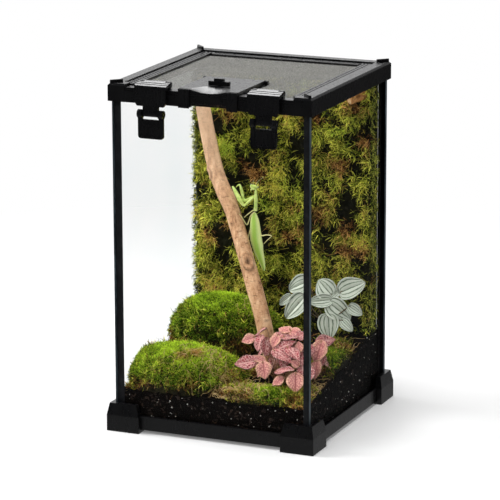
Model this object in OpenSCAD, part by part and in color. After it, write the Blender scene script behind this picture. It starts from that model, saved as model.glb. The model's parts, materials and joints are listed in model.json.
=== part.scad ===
// Planted glass terrarium with a hinged screen lid, a feeding hatch and two swing latches.
// Origin at the centre of the footprint on the ground, +Z up, the latches face -Y.

/* [Tank] */
// Outer width of the glass box
tank_w = 200; // [190:1:230]
// Outer depth of the glass box
tank_d = 200; // [190:1:230]
// Height of the top frame above the ground
tank_h = 339; // [320:1:400]
// Thickness of the glass panes
glass_t = 4; // [3:0.5:5]
// Thickness of the silicone joint between panes
seal_gap = 0.5; // [0.3:0.1:1]
// Leg of the silicone bead in each inner corner
seal_bead = 3.5; // [2:0.5:5]

/* [Base] */
// Height of the base rails above the ground
rail_z = 3; // [2:0.5:5]
// Height of a base rail
rail_h = 14; // [12:0.5:18]
// Wall thickness of a base rail outside the glass
rail_wall = 2; // [1.5:0.5:3]
// Thickness of the web that the panes stand on
rail_web = 3; // [2:0.5:4]
// Width of the web that the panes stand on
rail_ledge = 16; // [14:0.5:24]
// Distance that a foot stands out from the base rail
foot_out = 4.9; // [3:0.1:8]
// Length of a foot along each side
foot_arm = 33.7; // [28:0.1:45]
// Height of a foot
foot_h = 27.5; // [22:0.5:35]
// Height at which a foot starts to taper
foot_crease = 16; // [8:0.5:20]
// Taper of the outer faces of a foot above the crease
foot_taper = 2.3; // [1:0.1:4]
// Taper of the two ends of a foot above the crease
foot_end_taper = 3; // [1:0.1:6]

/* [Top frame] */
// Height of the top frame
frame_h = 17; // [15:0.5:22]
// Wall thickness of the top frame outside the glass
frame_wall = 3; // [2:0.5:4]
// Width of the top face of the frame
frame_top_w = 12; // [11:0.5:16]
// Chamfer on the outer top edge of the frame
frame_chamfer = 2; // [0.5:0.5:2.5]
// Depth of the top edge of the panes below the top of the frame
glass_drop = 8; // [8:0.5:9]
// Thickness of the skirt inside the glass
skirt_t = 2.5; // [1.5:0.5:3]
// Width of the ledge that the lid rests on
ledge_w = 4; // [3:0.5:6]
// Thickness of the ledge that the lid rests on
ledge_t = 3; // [2:0.5:4]
// Length of a corner block along each side
corner_l = 18; // [16:0.5:24]
// Length of the diagonal ridge on a corner block
ridge_l = 12.5; // [9:0.5:12.5]
// Width of the diagonal ridge
ridge_w = 2.6; // [1.5:0.1:4]
// Height of the diagonal ridge
ridge_h = 2.8; // [1.5:0.1:4]
// Width of the finger cut-out under the front rail
finger_w = 36; // [30:1:36]
// Height of the finger cut-out under the front rail
finger_h = 3.5; // [2:0.5:5]

/* [Lid] */
// Gap between the lid and the frame around it
lid_gap = 0.4; // [0.3:0.1:0.8]
// Gap under the lid where it rests
rest_gap = 0.3; // [0.2:0.1:0.5]
// Thickness of the lid bars
lid_t = 5.2; // [5:0.2:6]
// Depth of the lid's top face below the top of the frame
lid_drop = 1.4; // [1:0.1:2]
// Width of a lid bar
lid_bar_w = 10.6; // [9:0.2:13]
// Width of the ledge under the screen
screen_ledge = 2.5; // [2:0.5:4]
// Depth of the front bar's top face below the top of the frame
front_drop = 2.7; // [2.5:0.1:3]
// Thickness of the front bar of the lid
front_bar_t = 2.7; // [2.4:0.1:3]
// Depth of the stiffening rib under the front bar
front_rib_h = 4; // [3:0.5:6]
// Width of the decorative grooves in the lid bars
groove_w = 1.2; // [0.8:0.1:2]
// Depth of the decorative grooves in the lid bars
groove_depth = 0.9; // [0.4:0.1:1.5]
// Thickness of the wire screen
screen_t = 0.8; // [0.6:0.1:1]
// Spacing of the screen's ribs
screen_pitch = 13; // [9:0.1:14]
// Width of a rib of the screen
screen_rib = 1.6; // [1:0.1:3]
// Diameter of the lid's hinge pins
lid_pin_d = 2.4; // [1.8:0.1:3]
// Running clearance around every pin, on the radius
pin_fit = 0.05; // [0.02:0.01:0.1]

/* [Feeding hatch] */
// Width of the hatch plate
hatch_w = 59.6; // [54:0.2:64]
// Length of the hatch plate from the front of the frame to its hinge
hatch_l = 65; // [60:1:80]
// Thickness of the hatch plate
hatch_t = 4.1; // [3.5:0.1:4.5]
// Width of the port under the hatch
port_w = 44; // [36:1:48]
// Length of the port under the hatch
port_l = 38; // [30:1:42]
// Width of the surround's flange outside the hatch plate
flange_w = 6; // [4:0.5:10]
// Thickness of the port surround
surround_t = 2.2; // [1.8:0.1:2.6]
// Radius of the finger scoop in the plate
scoop_r = 67; // [50:1:90]
// Length of the finger scoop
scoop_l = 23; // [15:1:24]
// Depth of the finger scoop at the front edge
scoop_depth = 3.1; // [1:0.1:3.2]
// Width of each leg that hangs over the front rail
leg_w = 10.8; // [8:0.2:14]
// Thickness of each leg
leg_t = 1.6; // [1.2:0.1:3]
// Depth of the leg tips below the bottom of the frame
leg_drop = 0.7; // [0:0.1:3]
// Diameter of the hatch hinge pins
hatch_pin_d = 2; // [1.4:0.1:2.4]

/* [Turn lock] */
// Distance of the turn lock from the front of the frame
lock_back = 26; // [25:0.5:30]
// Length of the turn lock's bar
knob_l = 21; // [16:0.5:30]
// Width of the turn lock's bar
knob_w = 5.2; // [4:0.2:8]
// Height of the turn lock's bar
knob_h = 4; // [3:0.2:6]
// Length of the raised grip on the bar
grip_l = 9.5; // [6:0.5:14]
// Height of the raised grip above the bar
grip_h = 2.5; // [1:0.1:4]
// Diameter of the turn lock's spindle
spindle_d = 5; // [4:0.1:6]
// Diameter of the spindle's thin end
stub_d = 3; // [2:0.1:3.4]
// Reach of the locking tongue from the spindle's axis
tongue_l = 11; // [9:0.5:12]
// Thickness of the locking tongue
tongue_t = 1.8; // [1.2:0.1:3]

/* [Latches] */
// Distance of each latch from the middle of the front
latch_x = 57; // [52:0.5:62]
// Width of a latch
latch_w = 32; // [26:1:36]
// Distance of a latch's front face from the front of the frame
latch_out = 5; // [4.5:0.1:7]
// Thickness of a latch's front plate
latch_t = 3.4; // [2.5:0.1:4]
// Distance of the latch's hinge from the front of the frame
hinge_back = 9; // [8.5:0.1:11]
// Diameter of the latch's hinge roll
roll_d = 6.4; // [6:0.1:7]
// Width of the latch's middle roll
roll_w = 21.4; // [16:0.2:24]
// Width of each lid knuckle beside the roll
knuckle_w = 4.4; // [3:0.2:5]
// Diameter of the latch's hinge pin
latch_pin_d = 2.4; // [1.6:0.1:3]
// Width of the neck below the latch plate
neck_w = 16; // [12:0.5:18]
// Length of the neck from the latch plate to the lever's pivot
neck_l = 8.8; // [8:0.2:14]
// Diameter of the neck's roll
neck_d = 5; // [4:0.1:6]
// Diameter of the lever's pin
lever_pin_d = 2; // [1.4:0.1:2.6]
// Width of a lever
lever_w = 26; // [24:0.5:30]
// Length of a lever below its pivot
lever_l = 23.4; // [16:0.2:30]
// Thickness of a lever
lever_t = 2.4; // [1.6:0.1:3]
// Diameter of a lever's ears
ear_d = 8; // [6:0.2:9]
// Height of the slot under the neck
slot_h = 2.7; // [2:0.1:4]

/* [Planting] */
// Height of the soil at the front glass
soil_front = 40; // [30:1:55]
// Height of the soil at the foot of the moss wall
soil_rear = 70; // [56:1:80]
// Thickness of the backing board
board_t = 6; // [3:0.5:10]
// Mean thickness of the moss on the backing board
moss_t = 20; // [14:1:22]
// Height of the lumps on the moss wall
moss_lump = 2.2; // [0.5:0.1:3]
// Radius of the branch
branch_r = 7.6; // [5:0.1:9]
// Radius of the wood stub in the moss wall
stub_r = 4.3; // [2:0.1:6]
// Number of leaves of the pink plant
pink_leaves = 26; // [8:1:30]
// Length of the longest leaf of the pink plant
pink_leaf_l = 24; // [14:0.5:26]
// Width of the broadest leaf of the pink plant
pink_leaf_w = 15.6; // [9:0.2:17]
// Thickness of every leaf
leaf_t = 0.8; // [0.5:0.1:1.5]
// Radius of every stem
stem_r = 0.8; // [0.5:0.1:1.5]

/* [Hidden] */
$fn = 48;
facets = 32;
eps = 0.01;

// Glass box: outer and inner faces of the panes, and their bottom and top edges
glass_x = tank_w / 2;
glass_y = tank_d / 2;
inner_x = glass_x - glass_t;
inner_y = glass_y - glass_t;
pane_bottom = rail_z + rail_web;
pane_top = tank_h - glass_drop;
floor_top = pane_bottom + glass_t;

// Base: outer faces of the rails
rail_x = glass_x + rail_wall;
rail_y = glass_y + rail_wall;

// Top frame: outer faces, inner faces and bottom
frame_x = glass_x + frame_wall;
frame_y = glass_y + frame_wall;
mouth_x = frame_x - frame_top_w;
mouth_y = frame_y - frame_top_w;
frame_bottom = tank_h - frame_h;
skirt_in = frame_wall + glass_t + skirt_t;
corner_gap = 0.3;
ridge_foot = 0.3;

// Lid: outer edges, bars, hinge axis and the height of the screen's seat
lid_x = mouth_x - lid_gap;
lid_y = mouth_y - lid_gap;
bar_x = lid_x - lid_bar_w;
bar_y = lid_y - lid_bar_w;
lid_top = tank_h - lid_drop;
lid_bottom = lid_top - lid_t;
ledge_top = lid_bottom - lid_gap;
lid_axis_y = lid_y - lid_t / 2;
lid_axis_z = lid_bottom + lid_t / 2;
seat_z = lid_axis_z;
pin_grip = 3.6;

// Front bar of the lid, over the front rail of the tank
front_top = tank_h - front_drop;
front_bottom = front_top - front_bar_t;
front_rail_top = front_bottom - rest_gap;
front_seat = frame_top_w - 1.8 + lid_gap;
front_depth = frame_top_w + lid_gap;
front_half = frame_x - corner_l - corner_gap;

// Feeding hatch: plate, hinge axis and legs
plate_bottom = seat_z + rest_gap;
plate_top = plate_bottom + hatch_t;
hatch_axis_y = -frame_y + hatch_l;
hatch_axis_z = plate_bottom + hatch_t / 2;
leg_gap = 0.3;
hatch_side_gap = 0.4;
ear_w = 3;
hole_x = hatch_w / 2 + hatch_side_gap + ear_w;
hole_y = hatch_axis_y + hatch_t / 2 + 3;

// Port under the hatch
port_front = -lid_y + 6.6;
port_rear = port_front + port_l;
surround_bottom = seat_z - surround_t;
surround_x = hole_x + flange_w / 2;
surround_y = hole_y + flange_w / 2;

// Turn lock: axis and tongue
lock_y = -frame_y + lock_back;
tongue_top = surround_bottom - rest_gap;
washer_t = 1;
washer_d = 6.8;

// Latches: hinge axis, front plate, lever axis
roll_y = -frame_y + hinge_back;
roll_z = front_top + rest_gap + roll_d / 2;
roll_gap = 0.3;
latch_front = -frame_y - latch_out;
latch_back = latch_front + latch_t;
latch_top = roll_z + 0.2;
latch_chamfer = 2.5;
neck_top = frame_bottom - 1.2;
lever_y = latch_back - neck_d / 4 - 0.05;
lever_z = frame_bottom - neck_l;
ear_gap = 0.3;

// Planting: slope of the soil from the front glass to the foot of the moss wall
side_gap = 0.1;
soil_x = inner_x - side_gap;
soil_y = inner_y - side_gap;
board_front = soil_y - board_t;
moss_back = board_front;
moss_foot = moss_back - moss_t - 2 * moss_lump;
soil_slope = (soil_rear - soil_front) / (moss_foot + inner_y);
wall_top = frame_bottom - 0.4;

function soil_z(y) = soil_front + soil_slope * (y + inner_y);

// The planting is drawn for a tank of this size, with its soil this high at the front glass
drawn_w = 200;
drawn_d = 200;
drawn_soil = 40;
drawn_top = 321.6;
share = [tank_w / drawn_w, tank_d / drawn_d, (wall_top - soil_front) / (drawn_top - drawn_soil)];

// A drawn place, or a drawn width, depth and height, in the tank as it is
function seat(p) = [p[0] * share[0], p[1] * share[1], soil_front + (p[2] - drawn_soil) * share[2]];
function spread(p) = [for (i = [0 : len(p) - 1]) p[i] * share[i]];

// Places in the planting, chosen by hand
branch_route = [for (p = [
    [-65, 30, 296], [-46.5, 19, 236], [-27, 12, 200], [-12, 5, 165],
    [10, -5.5, 110], [18, -10, 87], [31, -17, 48]
]) seat(p)];
branch_rings = 4;
branch_sides = 12;
stub_from = seat([90, 76, 311]);
stub_to = seat([77, 58, 306]);
pink_centre = spread([50, -52]);
pink_crown_r = 5;
silver_centre = seat([58, 47, 108]);
silver_root = spread([56, 46]);
silver_tilt = 70;
silver_turn = 6;
// Each leaf of the pink plant: base x, y, z, heading, pitch, roll, share of the longest and of the broadest
pink_places = [
    [45.9, -58, 84, -20, -15, 25, 1, 0.81], [74.6, -72, 68.2, -66, -61, 5, 0.76, 1.01],
    [30.2, -60, 71.6, -163, -8, -60, 0.89, 0.81], [82.4, -24, 88, -101, -56, -17, 0.91, 0.94],
    [37.2, -52, 93.3, -77, -61, -43, 0.7, 0.81], [77, -26, 85.9, 45, 7, 51, 0.83, 0.74],
    [58.6, -44, 99.5, 164, 7, -24, 0.61, 0.67], [38.1, -64, 73.1, -56, -54, 17, 0.69, 0.88],
    [59.7, -57.5, 88.3, -28, -23, 13, 0.84, 0.81], [23.7, -50, 92.1, -161, -18, -57, 0.54, 0.61],
    [84.6, -60, 73, -81, -59, -2, 0.65, 0.67], [53.5, -70, 66.3, -12, 19, 21, 0.87, 0.74],
    [47.7, -50, 96.4, -122, -55, -18, 0.51, 0.67], [84.4, -40.6, 73, -95, -66, -7, 0.72, 0.67],
    [55.7, -42, 100.6, -15, -5, 30, 0.65, 0.61], [37.6, -58, 71.2, 172, 18, -31, 0.63, 0.54],
    [31.2, -50, 95.1, -103, -59, 6, 0.65, 0.81], [77.5, -60, 76.1, -71, -57, -2, 0.65, 0.67],
    [77.1, -44, 89.6, -75, -54, -7, 0.59, 0.74], [63, -72, 62, -147, -26, -29, 0.51, 0.67],
    [49.2, -56, 83.8, 7, 31, 51, 0.82, 0.67], [67.2, -50, 96, 31, 31, 44, 0.38, 0.61],
    [49.5, -42, 96, -163, -20, -16, 0.59, 0.61], [85.1, -28, 76.4, -97, -70, -12, 0.49, 0.54],
    [75.9, -66, 73.6, 180, 28, -55, 0.37, 0.47], [52.9, -50, 95, -7, 11, 24, 0.65, 0.54],
    [72.8, -56, 84.4, 133, 59, -46, 0.43, 0.54], [85.1, -28, 68.5, 57, -35, 36, 0.49, 0.47],
    [51.2, -46, 98.2, -122, -39, -23, 0.38, 0.61], [81.6, -60, 76.6, -167, 14, -52, 0.37, 0.54]
];
// Each leaf of the silver plant: base x, base y, heading, length, width
silver_leaves = [for (item = [
    [14, 9, 27, 26, 19.5], [4, -2, -35, 26, 19.5], [4, -14, -84, 23, 20], [-22, 2, -128, 28, 18.5],
    [-20, 18, 208, 22, 17], [-2, 12, 95, 24, 19.5], [5, 1, 190, 22, 12.5], [5, 3, 45, 12, 8],
    [24, -4, -28, 15, 10.5], [18, -18, -40, 15, 10], [-36, 2, -140, 15, 8]
]) [for (i = [0 : 4]) i == 2 ? item[i] : item[i] * share[0]]];
silver_crown = 22 * share[2];

// ---------- base ----------

// A profile in (inward, up) extruded along the side whose outer face is at distance out
module along_side(out, half) {
    translate([out, half, 0]) rotate([90, 0, 0]) linear_extrude(2 * half) mirror([1, 0]) children();
}

module on_front() { rotate([0, 0, -90]) children(); }
module on_rear() { rotate([0, 0, 90]) children(); }
module on_left() { mirror([1, 0, 0]) children(); }

module base_rail(out, half, full_wall) {
    color([0.06, 0.06, 0.065]) {
        along_side(out, half) polygon([
            [0, rail_z], [rail_ledge, rail_z], [rail_ledge, rail_z + rail_web],
            [rail_wall, rail_z + rail_web], [rail_wall, rail_z + rail_h], [0, rail_z + rail_h]
        ]);
        if (full_wall > half) along_side(out, full_wall)
            translate([0, rail_z + rail_web]) square([rail_wall, rail_h - rail_web]);
    }
}

// One arm direction of a foot: upright to the crease, then tapered on both sides
module foot_profile(length) {
    polygon([
        [0, 0], [length, 0], [length, foot_crease], [length - foot_end_taper, foot_h],
        [foot_taper, foot_h], [0, foot_crease]
    ]);
}

module foot(side_x, side_y) {
    out_x = rail_x + foot_out;
    out_y = rail_y + foot_out;
    mirror([side_x < 0 ? 1 : 0, 0, 0]) mirror([0, side_y < 0 ? 1 : 0, 0]) color([0.09, 0.09, 0.1])
    difference() {
        intersection() {
            translate([0, out_y - foot_arm, 0]) along_side(out_x, 2 * foot_arm) foot_profile(foot_arm);
            translate([out_x - foot_arm, 0, 0]) on_rear()
                along_side(out_y, 2 * foot_arm) foot_profile(foot_arm);
        }
        translate([0, 0, rail_z]) cube([rail_x, rail_y, rail_h]);
        translate([0, 0, rail_z + rail_h - eps]) cube([glass_x, glass_y, foot_h]);
    }
}

// ---------- glass ----------

module pane(half, near, far, bottom, top) {
    color([0.8, 0.9, 0.9, 0.35]) translate([-half, near, bottom])
        cube([2 * half, far - near, top - bottom]);
}

module side_pane() {
    half = inner_y - seal_gap;
    color([0.8, 0.9, 0.9, 0.35]) translate([inner_x, -half, pane_bottom])
        cube([glass_t, 2 * half, pane_top - pane_bottom]);
}

module floor_glass() {
    color([0.8, 0.9, 0.9, 0.35])
        translate([-inner_x + seal_gap, -inner_y + seal_gap, pane_bottom])
        cube([2 * (inner_x - seal_gap), 2 * (inner_y - seal_gap), glass_t]);
}

module floor_seal() {
    color([0.03, 0.03, 0.03]) translate([0, 0, pane_bottom]) linear_extrude(glass_t) difference() {
        square([2 * inner_x, 2 * inner_y], center = true);
        square([2 * (inner_x - seal_gap), 2 * (inner_y - seal_gap)], center = true);
    }
}

// The joint behind the end of a side pane, with its bead in the inner corner
module corner_seal() {
    color([0.03, 0.03, 0.03]) {
        translate([inner_x, inner_y - seal_gap, pane_bottom])
            cube([glass_t, seal_gap, pane_top - pane_bottom]);
        translate([0, 0, floor_top]) linear_extrude(frame_bottom - floor_top) polygon([
            [inner_x, inner_y], [inner_x - seal_bead, inner_y], [inner_x, inner_y - seal_bead]
        ]);
    }
}

module corner_seals() {
    for (sx = [0, 1], sy = [0, 1]) mirror([sx, 0, 0]) mirror([0, sy, 0]) corner_seal();
}

// ---------- top frame ----------

// Section of a side rail: outer wall, slot for the pane, inner skirt and ledge for the lid
module top_rail_profile(with_ledge) {
    reach = with_ledge ? frame_top_w + ledge_w : frame_top_w;
    polygon([
        [0, frame_bottom], [0, tank_h - frame_chamfer], [frame_chamfer, tank_h],
        [frame_top_w, tank_h], [frame_top_w, ledge_top], [reach, ledge_top],
        [reach, ledge_top - ledge_t], [skirt_in, ledge_top - ledge_t], [skirt_in, frame_bottom],
        [frame_wall + glass_t, frame_bottom], [frame_wall + glass_t, pane_top],
        [frame_wall, pane_top], [frame_wall, frame_bottom]
    ]);
}

module top_rail_side() {
    color([0.08, 0.08, 0.09]) along_side(frame_x, frame_y - corner_l) top_rail_profile(true);
}

module top_rail_rear() {
    color([0.08, 0.08, 0.09]) on_rear() along_side(frame_y, frame_x - corner_l) top_rail_profile(false);
}

// The front rail is lower, because the lid's front bar lies on it
module top_rail_front() {
    color([0.08, 0.08, 0.09]) on_front() difference() {
        along_side(frame_y, frame_x - corner_l) polygon([
            [0, frame_bottom], [0, front_rail_top], [skirt_in, front_rail_top],
            [skirt_in, frame_bottom], [frame_wall + glass_t, frame_bottom],
            [frame_wall + glass_t, pane_top], [frame_wall, pane_top], [frame_wall, frame_bottom]
        ]);
        along_side(frame_y + eps, finger_w / 2)
            translate([0, frame_bottom - eps]) square([frame_wall + 2 * eps, finger_h]);
    }
}

// Corner block: two arms with the same section as the rails, and a diagonal ridge on top
module top_corner(side_x, side_y) {
    mirror([side_x < 0 ? 1 : 0, 0, 0]) mirror([0, side_y < 0 ? 1 : 0, 0]) color([0.08, 0.08, 0.09]) {
        difference() {
            intersection() {
                translate([0, frame_y - corner_l, 0]) along_side(frame_x, 2 * corner_l)
                    corner_profile();
                translate([frame_x - corner_l, 0, 0]) on_rear() along_side(frame_y, 2 * corner_l)
                    corner_profile();
            }
            translate([0, 0, frame_bottom - eps]) cube([mouth_x, mouth_y, frame_h + 1]);
            translate([0, 0, frame_bottom - eps])
                cube([frame_x - skirt_in, frame_y - skirt_in, ledge_top - ledge_t - frame_bottom]);
            translate([0, 0, frame_bottom - eps]) linear_extrude(pane_top - frame_bottom + eps)
                difference() {
                    square([glass_x, glass_y]);
                    square([inner_x, inner_y]);
                }
            if (side_y > 0) translate([mouth_x - eps, lid_axis_y, lid_axis_z]) rotate([0, 90, 0])
                cylinder(d = lid_pin_d + 2 * pin_fit, h = pin_grip + 0.2);
        }
        translate([frame_x - frame_chamfer, frame_y - frame_chamfer, tank_h]) rotate([0, 0, 225])
            rotate([90, 0, 90]) linear_extrude(ridge_l) polygon([
                [-ridge_w / 2, -ridge_foot], [ridge_w / 2, -ridge_foot], [ridge_w / 2, 0],
                [ridge_w / 3, ridge_h], [-ridge_w / 3, ridge_h], [-ridge_w / 2, 0]
            ]);
    }
}

module corner_profile() {
    polygon([
        [0, frame_bottom], [0, tank_h - frame_chamfer], [frame_chamfer, tank_h],
        [corner_l, tank_h], [corner_l, frame_bottom]
    ]);
}

// ---------- lid ----------

// Section of a side or rear bar: ledge for the screen and two grooves on top
module lid_bar_profile(width) {
    difference() {
        polygon([
            [0, lid_bottom], [0, lid_top], [width, lid_top], [width, seat_z],
            [lid_bar_w + screen_ledge, seat_z], [lid_bar_w + screen_ledge, lid_bottom]
        ]);
        for (place = [0.36, 0.7]) translate([lid_bar_w * place, lid_top - groove_depth])
            square([groove_w, 2 * groove_depth]);
    }
}

// The round nose at the rear of the lid, concentric with its hinge
module lid_nose(from, to) {
    translate([from, lid_axis_y, lid_axis_z]) rotate([0, 90, 0]) cylinder(d = lid_t, h = to - from);
}

module lid_bar_side() {
    color([0.1, 0.1, 0.11]) difference() {
        union() {
            translate([lid_x, lid_axis_y, 0]) rotate([90, 0, 0])
                linear_extrude(lid_axis_y + lid_y) mirror([1, 0]) lid_bar_profile(lid_bar_w);
            lid_nose(bar_x - screen_ledge, lid_x);
        }
        translate([lid_x - lid_bar_w * 0.64, lid_axis_y, lid_axis_z]) rotate([0, 90, 0])
            cylinder(d = lid_pin_d + 2 * pin_fit, h = lid_bar_w);
    }
}

module lid_bar_rear() {
    half = bar_x - screen_ledge;
    color([0.1, 0.1, 0.11]) {
        on_rear() along_side(lid_y, half) intersection() {
            lid_bar_profile(lid_bar_w);
            translate([lid_t / 2, lid_bottom - 1]) square([lid_bar_w + screen_ledge, lid_t + 2]);
        }
        lid_nose(-half, half);
    }
}

// Front bar: lies on the front rail, recessed under the hatch, with knuckles for the latches
module lid_bar_front() {
    color([0.1, 0.1, 0.11]) difference() {
        union() {
            on_front() along_side(frame_y, front_half) polygon([
                [0, front_bottom], [0, front_top], [front_seat, front_top], [front_seat, seat_z],
                [front_depth, seat_z], [front_depth, front_bottom - front_rib_h],
                [skirt_in + lid_gap, front_bottom - front_rib_h], [skirt_in + lid_gap, front_bottom]
            ]);
            for (latch = [-1, 1], side = [-1, 1])
                translate([latch * latch_x + side * (roll_w / 2 + roll_gap + knuckle_w / 2), 0, 0])
                    knuckle();
        }
        translate([-hatch_w / 2 - hatch_side_gap, -frame_y - 1, seat_z])
            cube([hatch_w + 2 * hatch_side_gap, front_depth + 2, front_drop + 1]);
        for (latch = [-1, 1]) translate([latch * latch_x, roll_y, roll_z]) rotate([0, 90, 0])
            cylinder(d = latch_pin_d + 2 * pin_fit, h = latch_w, center = true);
    }
}

module knuckle() {
    foot_back = -frame_y + front_seat;
    translate([-knuckle_w / 2, roll_y, roll_z]) rotate([0, 90, 0])
        cylinder(d = roll_d - 0.4, h = knuckle_w);
    translate([-knuckle_w / 2, roll_y - roll_d / 2 + 0.2, front_top - eps])
        cube([knuckle_w, foot_back - roll_y + roll_d / 2 - 0.2, roll_z - front_top]);
}

// A flat wire screen between two corners, with a solid border
module screen(from, to) {
    size = [to[0] - from[0], to[1] - from[1]];
    count = [for (i = [0, 1]) max(1, round((size[i] - screen_rib) / screen_pitch))];
    step = [for (i = [0, 1]) (size[i] - screen_rib) / count[i]];
    color([0.25, 0.25, 0.26]) translate([from[0], from[1], seat_z]) linear_extrude(screen_t)
        difference() {
            square(size);
            for (i = [0 : count[0] - 1], j = [0 : count[1] - 1])
                translate([screen_rib + i * step[0], screen_rib + j * step[1]])
                    square([step[0] - screen_rib, step[1] - screen_rib]);
        }
}

module screen_side() {
    screen([hole_x, -frame_y + front_seat + 0.1], [bar_x - 0.1, bar_y - 0.1]);
}

module screen_rear() {
    screen([-hole_x, hole_y], [hole_x, bar_y - 0.1]);
}

// Flat ring that the screen is cut round, with two ears for the hatch
module port_surround() {
    color([0.08, 0.08, 0.09]) difference() {
        union() {
            translate([-surround_x, -lid_y, surround_bottom])
                cube([2 * surround_x, surround_y + lid_y, surround_t]);
            for (side = [-1, 1]) translate([side * (hole_x - ear_w / 2), 0, 0]) hatch_ear();
        }
        translate([0, (port_front + port_rear) / 2, surround_bottom - 1])
            linear_extrude(surround_t + 2) offset(4) square([port_w - 8, port_l - 8], center = true);
        translate([0, hatch_axis_y, hatch_axis_z]) rotate([0, 90, 0])
            cylinder(d = hatch_pin_d + 2 * pin_fit, h = 2 * hole_x + 1, center = true);
    }
}

module hatch_ear() {
    translate([-ear_w / 2, hatch_axis_y, hatch_axis_z]) rotate([0, 90, 0])
        cylinder(d = hatch_t, h = ear_w);
    translate([-ear_w / 2, hatch_axis_y - hatch_t / 2, seat_z - eps])
        cube([ear_w, hatch_t, hatch_axis_z - seat_z + eps]);
}

module pin_along_x(from, to, diameter) {
    translate(from) rotate([0, 90, 0]) cylinder(d = diameter, h = to - from[0]);
}

module lid_hinge_pins() {
    for (side = [0, 1]) mirror([side, 0, 0]) color("silver") pin_along_x(
        [lid_x - lid_bar_w * 0.6, lid_axis_y, lid_axis_z], mouth_x + pin_grip, lid_pin_d);
}

module hatch_hinge_pins() {
    for (side = [0, 1]) mirror([side, 0, 0]) color("silver")
        pin_along_x([hatch_w / 2 - 4, hatch_axis_y, hatch_axis_z], hole_x, hatch_pin_d);
}

module latch_hinge_pins() {
    half = roll_w / 2 + roll_gap + knuckle_w;
    for (side = [-1, 1]) color("silver")
        pin_along_x([side * latch_x - half, roll_y, roll_z], side * latch_x + half, latch_pin_d);
}

// ---------- feeding hatch and turn lock ----------

module hatch_plate() {
    color([0.09, 0.09, 0.1]) difference() {
        union() {
            translate([-hatch_w / 2, -frame_y, plate_bottom]) cube([hatch_w, hatch_l, hatch_t]);
            translate([-hatch_w / 2, hatch_axis_y, hatch_axis_z]) rotate([0, 90, 0])
                cylinder(d = hatch_t, h = hatch_w);
            for (side = [0, 1]) mirror([side, 0, 0]) hatch_leg();
        }
        finger_scoop();
        translate([0, hatch_axis_y, hatch_axis_z]) rotate([0, 90, 0]) for (side = [0, 180])
            rotate([side, 0, 0]) translate([0, 0, hatch_w / 2 - 4.2])
                cylinder(d = hatch_pin_d + 2 * pin_fit, h = 5);
        translate([0, lock_y, plate_bottom - 1]) cylinder(d = spindle_d + 2 * pin_fit, h = hatch_t + 2);
    }
}

module hatch_leg() {
    front = -frame_y - leg_gap - leg_t;
    translate([hatch_w / 2 - leg_w, front, frame_bottom - leg_drop])
        cube([leg_w, leg_t, plate_top - frame_bottom + leg_drop - 0.4]);
    translate([hatch_w / 2 - leg_w, front, plate_bottom])
        cube([leg_w, leg_t + leg_gap + eps, hatch_t - 0.4]);
}

// Shallow arc that runs down to the front edge between the legs
module finger_scoop() {
    translate([0, -frame_y + scoop_l, plate_top]) rotate([atan(scoop_depth / scoop_l), 0, 0])
        translate([0, 0, scoop_r]) rotate([90, 0, 0])
        cylinder(r = scoop_r, h = 2 * scoop_l, $fn = 120);
}

module lock_knob() {
    knob_bottom = plate_top + rest_gap;
    color([0.07, 0.07, 0.075]) translate([0, lock_y, 0]) {
        translate([0, 0, knob_bottom]) linear_extrude(knob_h) offset(1)
            square([knob_l - 2, knob_w - 2], center = true);
        translate([-grip_l / 2, 0, knob_bottom + knob_h - eps]) rotate([90, 0, 90])
            linear_extrude(grip_l) polygon([
                [-knob_w * 0.4, 0], [knob_w * 0.4, 0], [knob_w * 0.3, grip_h], [-knob_w * 0.3, grip_h]
            ]);
        translate([0, 0, tongue_top]) cylinder(d = spindle_d, h = knob_bottom - tongue_top + eps);
        translate([0, 0, tongue_top - tongue_t - washer_t - 0.4])
            cylinder(d = stub_d, h = tongue_t + washer_t + 0.4 + eps);
    }
}

module lock_tongue() {
    color("silver") translate([0, lock_y, tongue_top - tongue_t]) linear_extrude(tongue_t)
        difference() {
            union() {
                circle(d = spindle_d + 1.4);
                translate([0, -spindle_d / 2]) square([tongue_l, spindle_d]);
            }
            circle(d = stub_d + 2 * pin_fit);
        }
}

module lock_washer() {
    color("silver") translate([0, lock_y, tongue_top - tongue_t - washer_t]) linear_extrude(washer_t)
        difference() {
            circle(d = washer_d);
            circle(d = stub_d + 2 * pin_fit);
        }
}

// ---------- latches ----------

// One latch in the middle of the front: front plate, ribbed roof, hinge roll, neck
module latch() {
    roof_end = roll_y - roll_d / 2 - roll_gap;
    color([0.05, 0.05, 0.055]) difference() {
        union() {
            translate([0, latch_back, 0]) rotate([90, 0, 0]) linear_extrude(latch_t) front_outline();
            along_latch(latch_w) polygon([
                [latch_front, frame_bottom + frame_h * 0.7], [latch_front, latch_top - 0.8],
                [latch_front + 0.8, latch_top], [roof_end, roof_z(roof_end)],
                [roof_end, roof_z(roof_end) - 2.6], [latch_back, front_top + 0.7],
                [latch_back, frame_bottom + frame_h * 0.7]
            ]);
            along_latch(roll_w) polygon([
                [roof_end - 1, roof_z(roof_end - 1)], [roll_y, roll_z + roll_d / 2],
                [roll_y, roll_z - 0.4], [roof_end - 1, roof_z(roof_end) - 2.6]
            ]);
            along_latch(roll_w) translate([roll_y, roll_z]) circle(d = roll_d);
            along_latch(neck_w) translate([latch_back - lever_t, lever_z])
                square([lever_t, neck_top - lever_z + 2]);
            along_latch(neck_w) translate([lever_y, lever_z]) circle(d = neck_d);
        }
        for (place = [0.36, 0.72]) along_latch(latch_w + 2)
            translate([latch_front + place * (roof_end - latch_front), latch_top - 0.1]) square([1.3, 4]);
        along_latch(roll_w + 2) translate([roll_y, roll_z]) circle(d = latch_pin_d + 2 * pin_fit);
        along_latch(neck_w + 2) translate([lever_y, lever_z]) circle(d = lever_pin_d + 2 * pin_fit);
    }
}

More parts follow.
